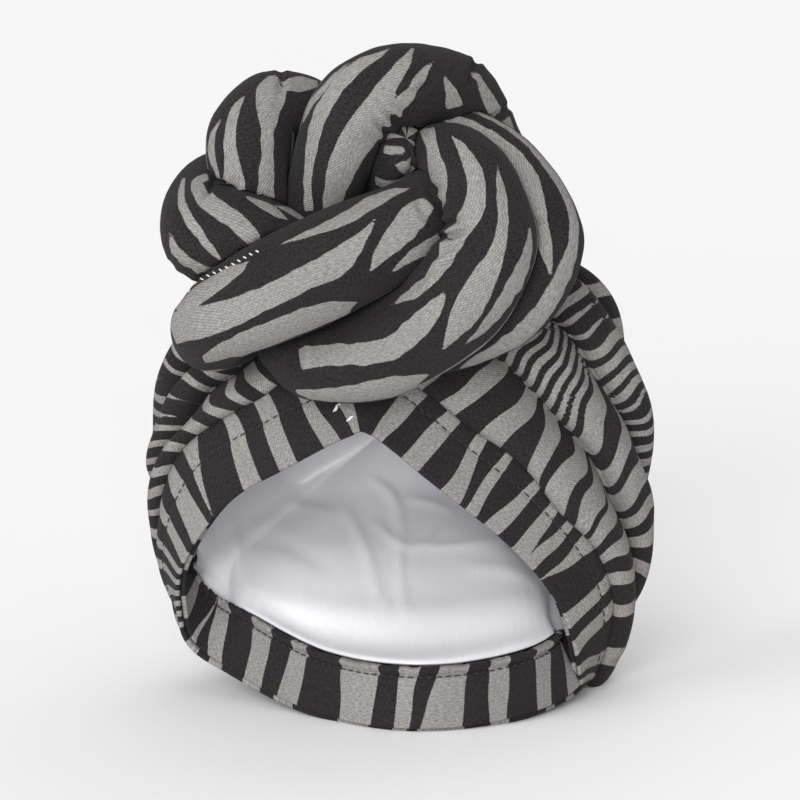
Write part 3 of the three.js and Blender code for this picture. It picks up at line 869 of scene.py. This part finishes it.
def satin_material():
    n = Nodes("satin_lining")
    cloth = n.attribute("cloth", "Vector")
    thread = n.noise(n.mapping(cloth, Scale=(2.4, 0.1, 1.0)), 0.9, 3.0)
    cloud = n.noise(cloth, 0.02)
    colour = n.mix(n.ramp(thread, 0.3, 0.7), *map(linear, SATIN_SHADES))
    colour = n.mix(n.ramp(cloud, 0.35, 0.7, 0.4), colour, linear(SATIN_CLOUD))
    n.set(Base_Color=colour, Roughness=0.32, Specular_IOR_Level=0.6, Sheen_Weight=0.1, Anisotropic=0.4)
    n.set(Normal=n.bump(n.total([(thread, 0.05), (cloud, 1.0)]), 0.2, 0.002))
    return n.material


def plain_material(name, shades, grain, detail, roughness):
    """A colour that varies a little over the object."""
    n = Nodes(name)
    where = n.add("TexCoord", "Object", {})
    colour = n.mix(n.noise(where, grain, detail), *map(linear, shades))
    n.set(Base_Color=colour, Roughness=roughness)
    return n.material


PRINT = striped_material()
LINING_SATIN = satin_material()
DARK_THREAD = plain_material("dark_thread", DARK_SHADES, 900.0, 2.0, 0.7)
WHITE_THREAD = plain_material("white_thread", WHITE_SHADES, 900.0, 2.0, 0.7)


# Thread


def stitches(line, normals):
    """Cuts a line on a surface into stitches that dip into the cloth at both ends."""
    run = run_along(line)
    share = np.linspace(0, 1, STITCH_POINTS)
    lift = (STITCH_LIFT * np.sin(math.pi * share) - STITCH_DIP)[:, None]
    runs = []
    for begin in np.arange(0, run[-1] - STITCH, STITCH + STITCH_GAP):
        places = begin + STITCH * share
        runs.append(at_places(places, run, line) + unit(at_places(places, run, normals)) * lift)
    return runs


def thread_object(name, runs, radius, material):
    """Lengths of thread as one mesh; each run is a line of points in the lip frame."""
    points, faces = [], []
    sides = np.arange(THREAD_SIDES)
    turn = (math.tau * sides / THREAD_SIDES)[:, None]
    used = 0
    for run in runs:
        tangents = unit(np.gradient(run, axis=0))
        side = unit(np.cross(tangents, ASIDE))
        up = np.cross(side, tangents)
        size = np.full((len(run), 1, 1), radius)
        size[[0, -1]] *= THREAD_END
        rings = run[:, None] + size * (np.cos(turn) * side[:, None] + np.sin(turn) * up[:, None])
        points.append(rings.reshape(-1, 3))
        last = used + (len(run) - 1) * THREAD_SIDES
        faces += grid_faces(len(run), THREAD_SIDES, used)
        faces += [(used + sides[::-1]).tolist(), (last + sides).tolist()]
        used = last + THREAD_SIDES
    return mesh_object(name, np.concatenate(points), faces, {}, material)


def on_cloth(pixels, tree, lift):
    """Where lines of sight through pixels of the photo meet a cloth, lifted off it. A line that misses is
    lowered a little at a time."""
    found = []
    for pixel in pixels:
        for lower in SIGHT_LOWERED:
            way = sight(pixel + [0, lower])
            place = tree.ray_cast(Vector(EYE), Vector(way))[0]
            if place is not None:
                found.append(np.array(place) - way * lift)
                break
    return np.array(found)


# Stripes


def stripe_field(run, share, stripes):
    """Signed distance in mm to the nearest stripe edge, positive on light cloth. Each stripe is its centre
    and half width where the band begins and where it ends."""
    best = np.full(run.shape, NO_STRIPE)
    for c0, h0, c1, h1 in stripes:
        centre = c0 + (c1 - c0) * share
        half = h0 + (h1 - h0) * share
        best = np.maximum(best, half - np.abs(run - centre))
    return best


def random_stripes(begin, end, seed, width):
    """Stripes of uneven width from begin to end, some of them drawn out to a point."""
    rng = np.random.default_rng(seed)
    stripes = []
    place = begin
    while place < end - HALF_WIDTHS[1] * width:
        half = width * rng.uniform(*HALF_WIDTHS)
        taper = rng.choice(TAPERS)
        lean = rng.uniform(-LEAN, LEAN) * width
        pair = (half * taper, half) if rng.random() < 0.5 else (half, half * taper)
        stripes.append((place + half, pair[0], place + half + lean, pair[1]))
        place += 2 * half + width * rng.uniform(*SPACES)
    return stripes


def back_stripes(points):
    """Wavy stripes straight across the middle of the back, as on a flat panel of the cloth."""
    slope = points[..., 2] + BACK_SLOPE * points[..., 0]
    slope = slope + wobble("back", points) + wobble("back_fine", points)
    light = wobble("back_width", points) + BACK_LIGHT
    return (np.cos(math.tau * slope / BACK_PERIOD) + light) * BACK_PERIOD / math.tau


def charted_stripes(table, chart, key, fold, far, run):
    """Stripes of a chart as centre and half width along run. fold and far are the band's two edges, and key
    turns a place in the chart to one number."""
    edges = []
    for line in (fold, far):
        values = key(*in_chart(line, chart).T)
        order = np.argsort(values)
        edges.append((values[order], run[order]))
    stripes = []
    for begin, end, far_begin, far_end in table:
        near = np.interp([begin, end], *edges[0])
        away = np.interp([far_begin, far_end], *edges[1])
        stripes.append((near.mean(), abs(near[1] - near[0]) / 2, away.mean(), abs(away[1] - away[0]) / 2))
    return stripes


def with_charts(charted, total, seed, width):
    """The charted stripes, and seeded ones wherever there is none."""
    places = sorted(charted, key=lambda stripe: stripe[0] + stripe[2])
    if not places:
        return random_stripes(0, total, seed, width)
    stripes = list(places)
    begins = [max(s[0] + s[1], s[2] + s[3]) for s in places]
    ends = [min(s[0] - s[1], s[2] - s[3]) for s in places]
    for k, (begin, end) in enumerate(zip([0.0] + begins, ends + [total])):
        if end - begin > WIDE_GAP * width:
            stripes += random_stripes(begin + width, end - width / 2, seed + GAP_SEED * k, width)
    return stripes


# Cap


def hem_rows(cap, at, width):
    """Rows of the hem's outside from the folded edge to width, each with its share of that way."""
    turn = (at + ROUND / 2) % ROUND - ROUND / 2
    for t in np.linspace(0, 1, HEM_ROWS, endpoint=False):
        distance = width * t
        groove = ridge(distance, *HEM_GROOVE)
        past = turn - LAP_AT + LAP_SLOPE * distance
        lap = LAP_RISE * smooth(past / LAP_WIDTH) * np.exp(-LAP_FADE * np.maximum(past, 0) ** 2)
        lap = lap * (1 - smooth((distance - LAP_TOP) / LAP_EASE))
        yield cap.offset(distance, HEM_SWELL * math.sin(math.pi * t) - groove + lap), t


def pleat_rows(cap, at, k, start, end):
    """Rows of one pleat from its fold to the next, each with its share of that way."""
    left, strength, circle = blend("left", at), blend("fold", at), on_circle(at)
    right_rise, left_rise = PLEATS[k][2:]
    rise = strength * (right_rise + (left_rise - right_rise) * left)
    rise = rise * (1 + wobble("rise", circle, k))
    second = strength * SECOND_FOLD[k] * (SECOND_MEAN + wobble("second", circle, k))
    for t in np.linspace(0, 1, PLEAT_STEPS, endpoint=False) ** PLEAT_CROWD:
        distance = start + (end - start) * t
        dip = strength * VALLEY * (1 if k else FIRST_DIP + (1 - FIRST_DIP) * t)
        out = (rise + dip) * math.sin(math.pi * t**PLEAT_LEAN) - dip
        row = cap.offset(distance, out + second * ridge(t, *SECOND_AT))
        roll = strength * ROLL * math.sin(math.pi * t**ROLL_LEAN) * (1 - t)
        yield row - cap.pick(cap.tangents, distance) * roll[:, None], t


def cap_rows(cap, at):
    """Rows of the outside of the cap: points, the band each row is on, and its place across that band."""
    left, strength, circle = blend("left", at), blend("fold", at), on_circle(at)
    folds = []
    for k, (right, far_left, _, _) in enumerate(PLEATS):
        share = right + (far_left - right) * left + strength * wobble("fold", circle, k)
        folds.append(HEM + share * (cap.length - HEM))
    folds.append(cap.length * CAP_END)
    bands = [hem_rows(cap, at, folds[0])]
    bands += [pleat_rows(cap, at, k, folds[k], folds[k + 1]) for k in range(len(PLEATS))]
    rows = [(row, band, t) for band, lines in enumerate(bands) for row, t in lines]
    return tuple(np.array(column) for column in zip(*rows))


def cap_print(rows, bands, shares, at):
    """The stripe field of the cap and the distance round it, row by row."""
    stripe, around = np.zeros(rows.shape[:2]), np.zeros(rows.shape[:2])
    charts = (
        (RIGHT_SHOWN, RIGHT_CHART, HEM_STRIPES_RIGHT, lambda x, y: x + y),
        (LEFT_SHOWN, LEFT_CHART, HEM_STRIPES_LEFT, lambda x, y: y - x),
        (NAPE_SHOWN, NAPE_CHART, {0: [row[2:] * 2 for row in NAPE_STRIPES]}, lambda x, y: x),
    )
    for band in range(len(PLEATS) + 1):
        on = np.flatnonzero(bands == band)
        *run, total = run_along(rows[on[len(on) // 3]], closed=True)
        around[on] = run = np.array(run)
        if band >= BACK_BAND:
            stripe[on] = back_stripes(rows[on])
            continue
        share = shares[on][:, None]
        moved = STRIPE_WOBBLE[band] * wobble("stripe", rows[on], band)
        if band:
            sway = SWAY + wobble("sway", rows[on], band)
            moved = moved + sway * np.sin(math.tau * share + wobble("late", rows[on], band))
        charted = []
        fold, far = rows[on[0]], rows[on[-1]]
        for shown, chart, table, key in charts:
            part = between(at, *shown)
            if band in table:
                charted += charted_stripes(table[band], chart, key, fold[part], far[part], run[part])
        stripes = with_charts(charted, total, CAP_SEED + band, STRIPE_WIDTH[band])
        stripe[on] = stripe_field(run + moved, share, stripes)
    return stripe, around


def cap_inside(cap):
    """The rolled rim of the cap, and after it the rows of its inside."""
    rows = [cap.offset(0.0, -CLOTH / 2) - RIM_ROLL * CLOTH * cap.pick(cap.tangents, 0.0)]
    rows[0][:, 2] = np.maximum(rows[0][:, 2], 0)
    for share in np.linspace(0, CAP_END, CAP_INNER_ROWS):
        distance = share * cap.length
        row = cap.offset(distance, -CLOTH - INNER_DIP * VALLEY * smooth((distance - HEM) / INNER_EASE))
        row[:, 2] = np.maximum(row[:, 2], np.where(distance > HEM, CLOTH, 0))
        rows.append(row)
    return np.stack(rows)


def hem_seam(cap, rows, lengths, at):
    """The stitches along the hem, on its outside."""
    place = HEM_STITCH / lengths[HEM_ROWS - 1] * (HEM_ROWS - 1)
    low = place.astype(int)
    part = (place - low)[:, None]
    columns = np.arange(len(at))
    line = rows[low, columns] * (1 - part) + rows[low + 1, columns] * part
    order = np.argsort((at + ROUND / 2) % ROUND)
    order = order[between(at[order], *HEM_SEWN)]
    return stitches(line[order], cap.pick(cap.normals, HEM_STITCH)[order])


def build_cap():
    """The cap and its stitches, and the points and faces of its outside."""
    at = places_round(CAP_COLUMNS)
    cap = Swept(cap_line, at)
    rows, bands, shares = cap_rows(cap, at)
    rows += wobble("cap", rows)[..., None] * unit(rows - CAP_MIDDLE)
    rows[..., 2] = np.maximum(rows[..., 2], 0)
    stripe, around = cap_print(rows, bands, shares, at)
    across = np.linalg.norm(np.diff(rows, axis=0), axis=2)
    lengths = np.concatenate([np.zeros((1, CAP_COLUMNS)), np.cumsum(across, axis=0)])
    cloth = cloth_places(around, lengths)
    inside = cap_inside(cap)
    outside = rows.reshape(-1, 3)
    points = np.concatenate([outside, inside.reshape(-1, 3), [POLE, POLE - CLOTH * BACKWARD]])
    rim, tip = len(outside), len(points) - 2
    outside_faces = grid_faces(len(rows), CAP_COLUMNS)
    faces = outside_faces + grid_faces(len(inside), CAP_COLUMNS, rim, flip=True)
    faces += join_faces(rim, 0, CAP_COLUMNS)
    faces += fan_faces(rim - CAP_COLUMNS, CAP_COLUMNS, tip)
    faces += fan_faces(tip - CAP_COLUMNS, CAP_COLUMNS, tip + 1, flip=True)
    stripe = np.concatenate([stripe.ravel(), np.tile(stripe[0], len(inside)), [TIP_STRIPE] * 2])
    turned = np.tile(cloth[0], (len(inside), 1))
    cloth = np.concatenate([cloth.reshape(-1, 3), turned, np.zeros((2, 3))])
    obj = mesh_object("cap_cloth", points, faces, {"stripe": stripe, "cloth": cloth}, PRINT)
    sewing = thread_object("hem_stitches", hem_seam(cap, rows, lengths, at), STITCH_RADIUS, DARK_THREAD)
    return obj, sewing, outside, outside_faces


def facing_sides(facing, at):
    """Rows of the facing's outside and inside, with a stitched groove below a rolled edge on the inside."""
    pucker = wobble("pucker", on_circle(at))
    run = run_along(facing.points[:, -1], closed=True)[1:]
    scallop = SCALLOP * np.abs(np.sin(math.pi * run / (STITCH + STITCH_GAP)))
    outer, inner = [], []
    for t in np.linspace(0, 1, FACING_ROWS):
        roll = ridge(t, *EDGE_ROLL) * (1 + ROLL_PUCKER * pucker)
        groove = ridge(t - scallop, *SEAM_GROOVE) * (1 + GROOVE_PUCKER * pucker)
        top = math.sqrt(max(1 - max((t - EDGE_TOP) / (1 - EDGE_TOP), 0) ** 2, EDGE_LEAST))
        length = FACING_WIDTH * t + EDGE_PUCKER * pucker * last_part(t)
        length = np.minimum(length, FACING_WIDTH)
        outer.append(facing.offset(length, 0.0))
        inner.append(facing.offset(length, -(FACING + roll - groove) * top))
    return np.stack(outer), np.stack(inner)


def build_facing():
    at = places_round(FACING_COLUMNS)
    facing = Swept(facing_line, at)
    outer, inner = facing_sides(facing, at)
    share = np.linspace(0, 1, FACING_ROWS)[:, None]
    *run, total = run_along(inner[FACING_ROWS // 2], closed=True)
    run = np.array(run)
    nape = between(at, *FACING_SHOWN)
    fold, stitched = inner[0][nape], inner[STITCHED_ROW][nape]
    table = [row[2:] + row[:2] for row in NAPE_STRIPES]
    charted = charted_stripes(table, NAPE_CHART, lambda x, y: x, fold, stitched, run[nape])
    stripes = with_charts(charted, total, FACING_SEED, FACING_STRIPE)
    stripe = stripe_field(run + wobble("facing_stripe", inner), share, stripes)
    cloth = cloth_places(run, share * FACING_WIDTH)
    points, faces = two_sided(outer, inner)
    top = (FACING_ROWS - 1) * FACING_COLUMNS
    faces += join_faces(top, len(points) // 2 + top, FACING_COLUMNS)
    attributes = {"stripe": np.tile(stripe.ravel(), 2), "cloth": np.tile(cloth.reshape(-1, 3), (2, 1))}
    obj = mesh_object("hem_band", points, faces, attributes, PRINT)
    sewn = between(at, *NAPE_SEWN)
    line = inner[int(NAPE_STITCH * (FACING_ROWS - 1))]
    normals = -facing.pick(facing.normals, NAPE_STITCH * FACING_WIDTH)
    runs = stitches(line[sewn], normals[sewn])
    return obj, thread_object("nape_stitches", runs, STITCH_RADIUS, DARK_THREAD)


def satin_folds(row):
    """Height of the satin's folds, in mm toward the eye, at points of the lining."""
    places = in_photo(row)
    total = np.zeros(len(row))
    for line, width, height in SATIN_FOLDS:
        line = spline(line, FOLD_SAMPLES)
        gaps = np.linalg.norm(places[:, None] - line[None], axis=2)
        ends = np.sin(math.pi * (gaps.argmin(axis=1) + FOLD_ENDS) / (FOLD_SAMPLES + 2 * FOLD_ENDS - 1)) ** 0.5
        total += FOLD_GAIN * ends * ridge(gaps.min(axis=1), 0, width, height)
    return total


def build_lining():
    at = places_round(LINING_COLUMNS)
    lining = Swept(lining_line, at)
    shares = np.linspace(0, 1, LINING_ROWS) ** LINING_CROWD
    tuck = ridge(at, *TUCK)
    outer, inner = [], []
    for t in shares:
        distance = LINING_END * t * lining.length
        row = lining.offset(distance, 0.0)
        soft = smooth(t / SATIN_EASE) * (1 - last_part(t))
        swell = wobble("satin", row * SATIN_STRETCH) - satin_folds(row)
        out = soft * swell + tuck * math.exp(-t / TUCK_DEPTH)
        outer.append(lining.offset(distance, out))
        inner.append(lining.offset(distance, out - SATIN))
    points, faces = two_sided(np.stack(outer), np.stack(inner))
    tip = len(points)
    points = np.concatenate([points, [LINING_POLE, LINING_POLE - SATIN * BACKWARD]])
    faces += fan_faces(tip // 2 - LINING_COLUMNS, LINING_COLUMNS, tip)
    faces += fan_faces(tip - LINING_COLUMNS, LINING_COLUMNS, tip + 1, flip=True)
    run = run_along(inner[SATIN_MIDDLE_ROW], closed=True)[:-1]
    cloth = cloth_places(run, shares[:, None] * lining.length).reshape(-1, 3)
    cloth = np.concatenate([cloth, cloth, np.zeros((2, 3))])
    return mesh_object("satin_lining", points, faces, {"cloth": cloth}, LINING_SATIN)


# Knot


def centre_line(rows):
    """The middle line of a strand with its radius, evenly spaced, and its length."""
    rows = np.array(rows, float)
    line = spline(rows[:, :3], STRAND_SAMPLES)
    steps = np.stack([rows[:, 3], np.arange(len(rows)), np.zeros(len(rows))], axis=1)
    radius = spline(steps, STRAND_SAMPLES)[:, :1]
    even, length = by_length(np.concatenate([line, radius], axis=1)[None], STRAND_SAMPLES)
    return even[0, :, :3], even[0, :, 3], length[0]


def tube(rows):
    """Rings of a padded strand with rounded ends, the distance along it, its two tips, and the radii."""
    line, radius, length = centre_line(rows)
    steps = int(length / STRAND_PITCH)
    pick = np.linspace(0, len(line) - 1, steps).astype(int)
    line, radius = line[pick], radius[pick]
    tangents = unit(np.gradient(line, axis=0))
    middle = steps // 2
    back = np.zeros((steps, 3))
    back[middle] = unit(tangents[middle] * (TO_CAMERA @ tangents[middle]) - TO_CAMERA)
    for order in (range(middle + 1, steps), range(middle - 1, -1, -1)):
        last = back[middle]
        for i in order:
            last = unit(last - tangents[i] * (last @ tangents[i]))
            back[i] = last
    run = run_along(line)
    first, last = (END_LENGTH * radius[i] * tangents[i] for i in (0, -1))
    rise, shrink = np.sin(END_LEANS)[:, None], np.cos(END_LEANS)
    centres = np.concatenate([line[0] - first * rise[::-1], line, line[-1] + last * rise])
    sizes = np.concatenate([radius[0] * shrink[::-1], radius, radius[-1] * shrink])
    along = np.concatenate([-radius[0] * END_LEANS[::-1], run, run[-1] + radius[-1] * END_LEANS])
    nearest = np.clip(np.arange(len(centres)) - len(END_LEANS), 0, steps - 1)
    across = np.cross(tangents, back)[nearest]
    turn = (math.tau * np.arange(STRAND_SIDES) / STRAND_SIDES)[:, None]
    rings = np.cos(turn) * back[nearest][:, None] + np.sin(turn) * across[:, None]
    rings = centres[:, None] + sizes[:, None, None] * rings
    return rings, along, np.array([line[0] - first, line[-1] + last]), radius[nearest]


def outward(rings):
    return unit(rings - rings.mean(axis=1, keepdims=True))


def facing_camera(rings, begin, ease):
    """1 where a strand faces the camera, and 0 where the cosine to it is below begin."""
    return smooth((outward(rings) @ TO_CAMERA - begin) / ease)


def press(points, spine, tree):
    """Stops each point of a strand where the line to it from the strand's spine meets what is already there,
    and turns the surface in near such a contact."""
    out = np.empty_like(points)
    for i, (p, o) in enumerate(zip(points, spine)):
        ray = p - o
        reach = float(np.linalg.norm(ray))
        ray = ray / max(reach, SMALL)
        hit = tree.ray_cast(Vector(o), Vector(ray), reach + CREASE + CLEAR + CAST_SPARE)[3]
        if hit is not None:
            room = max(hit - CLEAR, LEAST_REACH)
            near = max(CREASE - abs(reach - room), 0.0) / CREASE
            reach = max(min(reach, room) - near * near * CREASE * CREASE_DEPTH, LEAST_REACH)
        out[i] = o + ray * reach
    return out


def free_spine(centres, tree):
    """For each ring the nearest centre that lies outside everything already there."""
    free = []
    for i, centre in enumerate(centres):
        place, normal = tree.find_nearest(Vector(centre))[:2]
        if (Vector(centre) - place).dot(normal) > SPINE_ROOM:
            free.append(i)
    free = np.array(free)
    return centres[free[np.argmin(np.abs(np.arange(len(centres))[:, None] - free), axis=1)]]


def blade_outline(blade):
    """The edge of a blade as a closed line in its chart."""
    line = spline(blade, BLADE_SAMPLES)
    heading = unit(np.gradient(line[:, :2], axis=0))
    side = np.stack([-heading[:, 1], heading[:, 0]], axis=1) * np.maximum(line[:, 2:], 0) / 2
    return np.concatenate([line[:, :2] + side, (line[:, :2] - side)[::-1]])


def inside_distance(points, outline):
    """Signed distance from points to a closed outline, positive inside."""
    best = np.full(len(points), np.inf)
    crossings = np.zeros(len(points), int)
    for a, b in zip(outline, np.roll(outline, -1, axis=0)):
        step = b - a
        size = step @ step
        if size < TINY:
            continue
        share = np.clip(((points - a) @ step) / size, 0, 1)
        best = np.minimum(best, np.linalg.norm(points - a - share[:, None] * step, axis=1))
        spans = (a[1] > points[:, 1]) != (b[1] > points[:, 1])
        where = a[0] + (points[:, 1] - a[1]) * step[0] / (step[1] if abs(step[1]) > TINY else TINY)
        crossings += spans & (points[:, 0] < where)
    return np.where(crossings % 2 == 1, best, -best)


def strand_stripes(name, k, rings, u, v, girth):
    """The print of one strand: charted blades where the photo shows it, long seeded blades elsewhere."""
    number = STRAND_STRIPES * v + wobble("strand_stripe", np.stack([u, v * STRAND_ROUND], axis=-1), k)
    taper = STRAND_TAPER * np.sin(math.tau * u / STRAND_BLADE + STRAND_SHIFT * np.floor(number + 0.5))
    seeded = (np.cos(math.tau * number) + taper + STRAND_LIGHT) * girth / (math.tau * STRAND_STRIPES)
    seeded = seeded.ravel()
    if not BLADES[name]:
        return seeded
    places = in_chart(rings, KNOT_CHART).reshape(-1, 2)
    places = places + np.stack([wobble("blade_x", places), wobble("blade_y", places)], axis=1)
    charted = np.full(len(places), NO_BLADE)
    for blade in BLADES[name]:
        charted = np.maximum(charted, inside_distance(places, blade_outline(blade)) * CHART_MM)
    shown = facing_camera(rings, *BLADE_SHOWN).ravel()
    return np.maximum(charted, BLADE_FLOOR) * shown + seeded * (1 - shown)


def pinches(name, rings):
    """How far pinched folds move the surface of a strand, in mm."""
    places = in_chart(rings, KNOT_CHART)
    front = facing_camera(rings, *PINCH_SHOWN)
    move = np.zeros(rings.shape[:2])
    for x, y, angle, length, height, reach, width in PINCHES.get(name, []):
        turn = math.radians(angle)
        near = places - np.array([x, y])
        along = near[..., 0] * math.cos(turn) + near[..., 1] * math.sin(turn)
        across = near[..., 1] * math.cos(turn) - near[..., 0] * math.sin(turn)
        bend = along + PINCH_BEND * across**2
        fade = ridge(bend, 0, reach) * ridge(across, 0, width)
        move += PINCH_GAIN * height * np.cos(math.tau * bend / length) * fade * front
    return move


def build_strands(cap_points, cap_faces):
    """The strands of the knot by name, each pressed against the cap and the strands before it."""
    taken, taken_faces = [cap_points], list(cap_faces)
    used = len(cap_points)
    objects = {}
    for k, (name, rows) in enumerate(STRANDS.items()):
        rings, along, tips, radius = tube(rows)
        u, v = np.meshgrid(along, np.arange(STRAND_SIDES) / STRAND_SIDES, indexing="ij")
        girth = math.tau * radius[:, None]
        stripe = np.concatenate([strand_stripes(name, k, rings, u, v, girth), [0, 0]])
        cloth = np.concatenate([cloth_places(u, v * girth).reshape(-1, 3), np.zeros((2, 3))])
        swell = wobble("strand", rings, k) + wobble("strand_fine", rings, k) + pinches(name, rings)
        tree = BVHTree.FromPolygons(np.concatenate(taken).tolist(), taken_faces)
        spine = free_spine(rings.mean(axis=1), tree)
        spine = np.concatenate([np.repeat(spine, STRAND_SIDES, axis=0), spine[[0, -1]]])
        points = rings + outward(rings) * swell[..., None]
        points = press(np.concatenate([points.reshape(-1, 3), tips]), spine, tree)
        tip = rings.shape[0] * STRAND_SIDES
        faces = grid_faces(len(rings), STRAND_SIDES) + fan_faces(0, STRAND_SIDES, tip, flip=True)
        faces += fan_faces(tip - STRAND_SIDES, STRAND_SIDES, tip + 1)
        objects[name] = mesh_object(name + "_cloth", points, faces, {"stripe": stripe, "cloth": cloth}, PRINT)
        taken.append(points)
        taken_faces += [[used + i for i in face] for face in faces]
        used += len(points)
    return objects


def build_white_thread(band, cap_points, cap_faces):
    """The overlocked edge of the front band and the tacks at the peak of the opening."""
    left, top, scale = KNOT_CHART
    path = by_length(spline(OVERLOCK, PATH_SAMPLES)[None], OVERLOCK_SAMPLES)[0][0]
    heading = unit(np.gradient(path, axis=0))
    points = np.array([v.co for v in band.data.vertices]) / MM + ORIGIN
    tree = BVHTree.FromPolygons(points.tolist(), [tuple(f.vertices) for f in band.data.polygons])
    runs = []
    share = np.linspace(-1, 1, BAR_POINTS)[:, None]
    end = OVERLOCK_SAMPLES - 1 - OVERLOCK_START
    for k in np.linspace(OVERLOCK_START, end, OVERLOCK_STITCHES).astype(int):
        lean = np.array([-heading[k, 1], heading[k, 0]]) + OVERLOCK_LEAN * heading[k]
        bar = (path[k] + share * OVERLOCK_SWING * lean) / scale + np.array([left, top])
        runs.append(on_cloth(bar, tree, OVERLOCK_LIFT))
    tree = BVHTree.FromPolygons(cap_points.tolist(), cap_faces)
    for ends in TACKS:
        bar = on_cloth(np.linspace(*np.array(ends, float), BAR_POINTS), tree, TACK_LIFT)
        runs += [bar, bar + TACK_STEP]
    runs = [run for run in runs if len(run) > BAR_POINTS // 2]
    return thread_object("white_thread", runs, WHITE_RADIUS, WHITE_THREAD)


# Stage


def build_stage():
    mesh = bpy.data.meshes.new("floor")
    corners = [(-FLOOR, -FLOOR, 0), (FLOOR, -FLOOR, 0), (FLOOR, FLOOR, 0), (-FLOOR, FLOOR, 0)]
    mesh.from_pydata(corners, [], [(0, 1, 2, 3)])
    mesh.materials.append(plain_material("floor_white", FLOOR_SHADES, 3.0, 3.0, 0.8))
    link("floor", mesh)


def sun(name, azimuth, elevation, power, spread):
    """A soft lamp without fall-off; all angles are in degrees."""
    data = bpy.data.lights.new(name, "SUN")
    data.energy = power
    data.angle = math.radians(spread)
    obj = link(name, data)
    turn, rise = math.radians(azimuth), math.radians(elevation)
    to_lamp = Vector((-math.sin(turn) * math.cos(rise), -math.cos(turn) * math.cos(rise), math.sin(rise)))
    obj.location = to_lamp * LAMP_DISTANCE
    obj.rotation_euler = (-to_lamp).to_track_quat("-Z", "Y").to_euler()


def build_light():
    for lamp in LAMPS:
        sun(*lamp)
    world = bpy.data.worlds.new("studio")
    world.use_nodes = True
    light = world.node_tree.nodes["Background"].inputs
    light["Color"].default_value = (1, 1, 1, 1)
    light["Strength"].default_value = WORLD_STRENGTH
    bpy.context.scene.world = world


def build_camera():
    data = bpy.data.cameras.new("photo_camera")
    data.sensor_width = SENSOR
    data.lens = LENS
    data.shift_y = SHIFT_Y
    obj = link("photo_camera", data)
    obj.location = CAMERA_AT
    obj.rotation_euler = (math.pi / 2 - LOOK_DOWN, 0, 0)
    bpy.context.scene.camera = obj


cap_obj, hem_sewing, cap_points, cap_faces = build_cap()
facing_obj, nape_sewing = build_facing()
lining_obj = build_lining()
strand_objs = build_strands(cap_points, cap_faces)
white_thread = build_white_thread(strand_objs["front_band"], cap_points, cap_faces)

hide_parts("crown_shell")
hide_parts("hem_facing")
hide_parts("lining")
for name, obj in strand_objs.items():
    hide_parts(name)

bpy.context.scene.view_settings.view_transform = "Standard"
build_stage()
build_light()
build_camera()
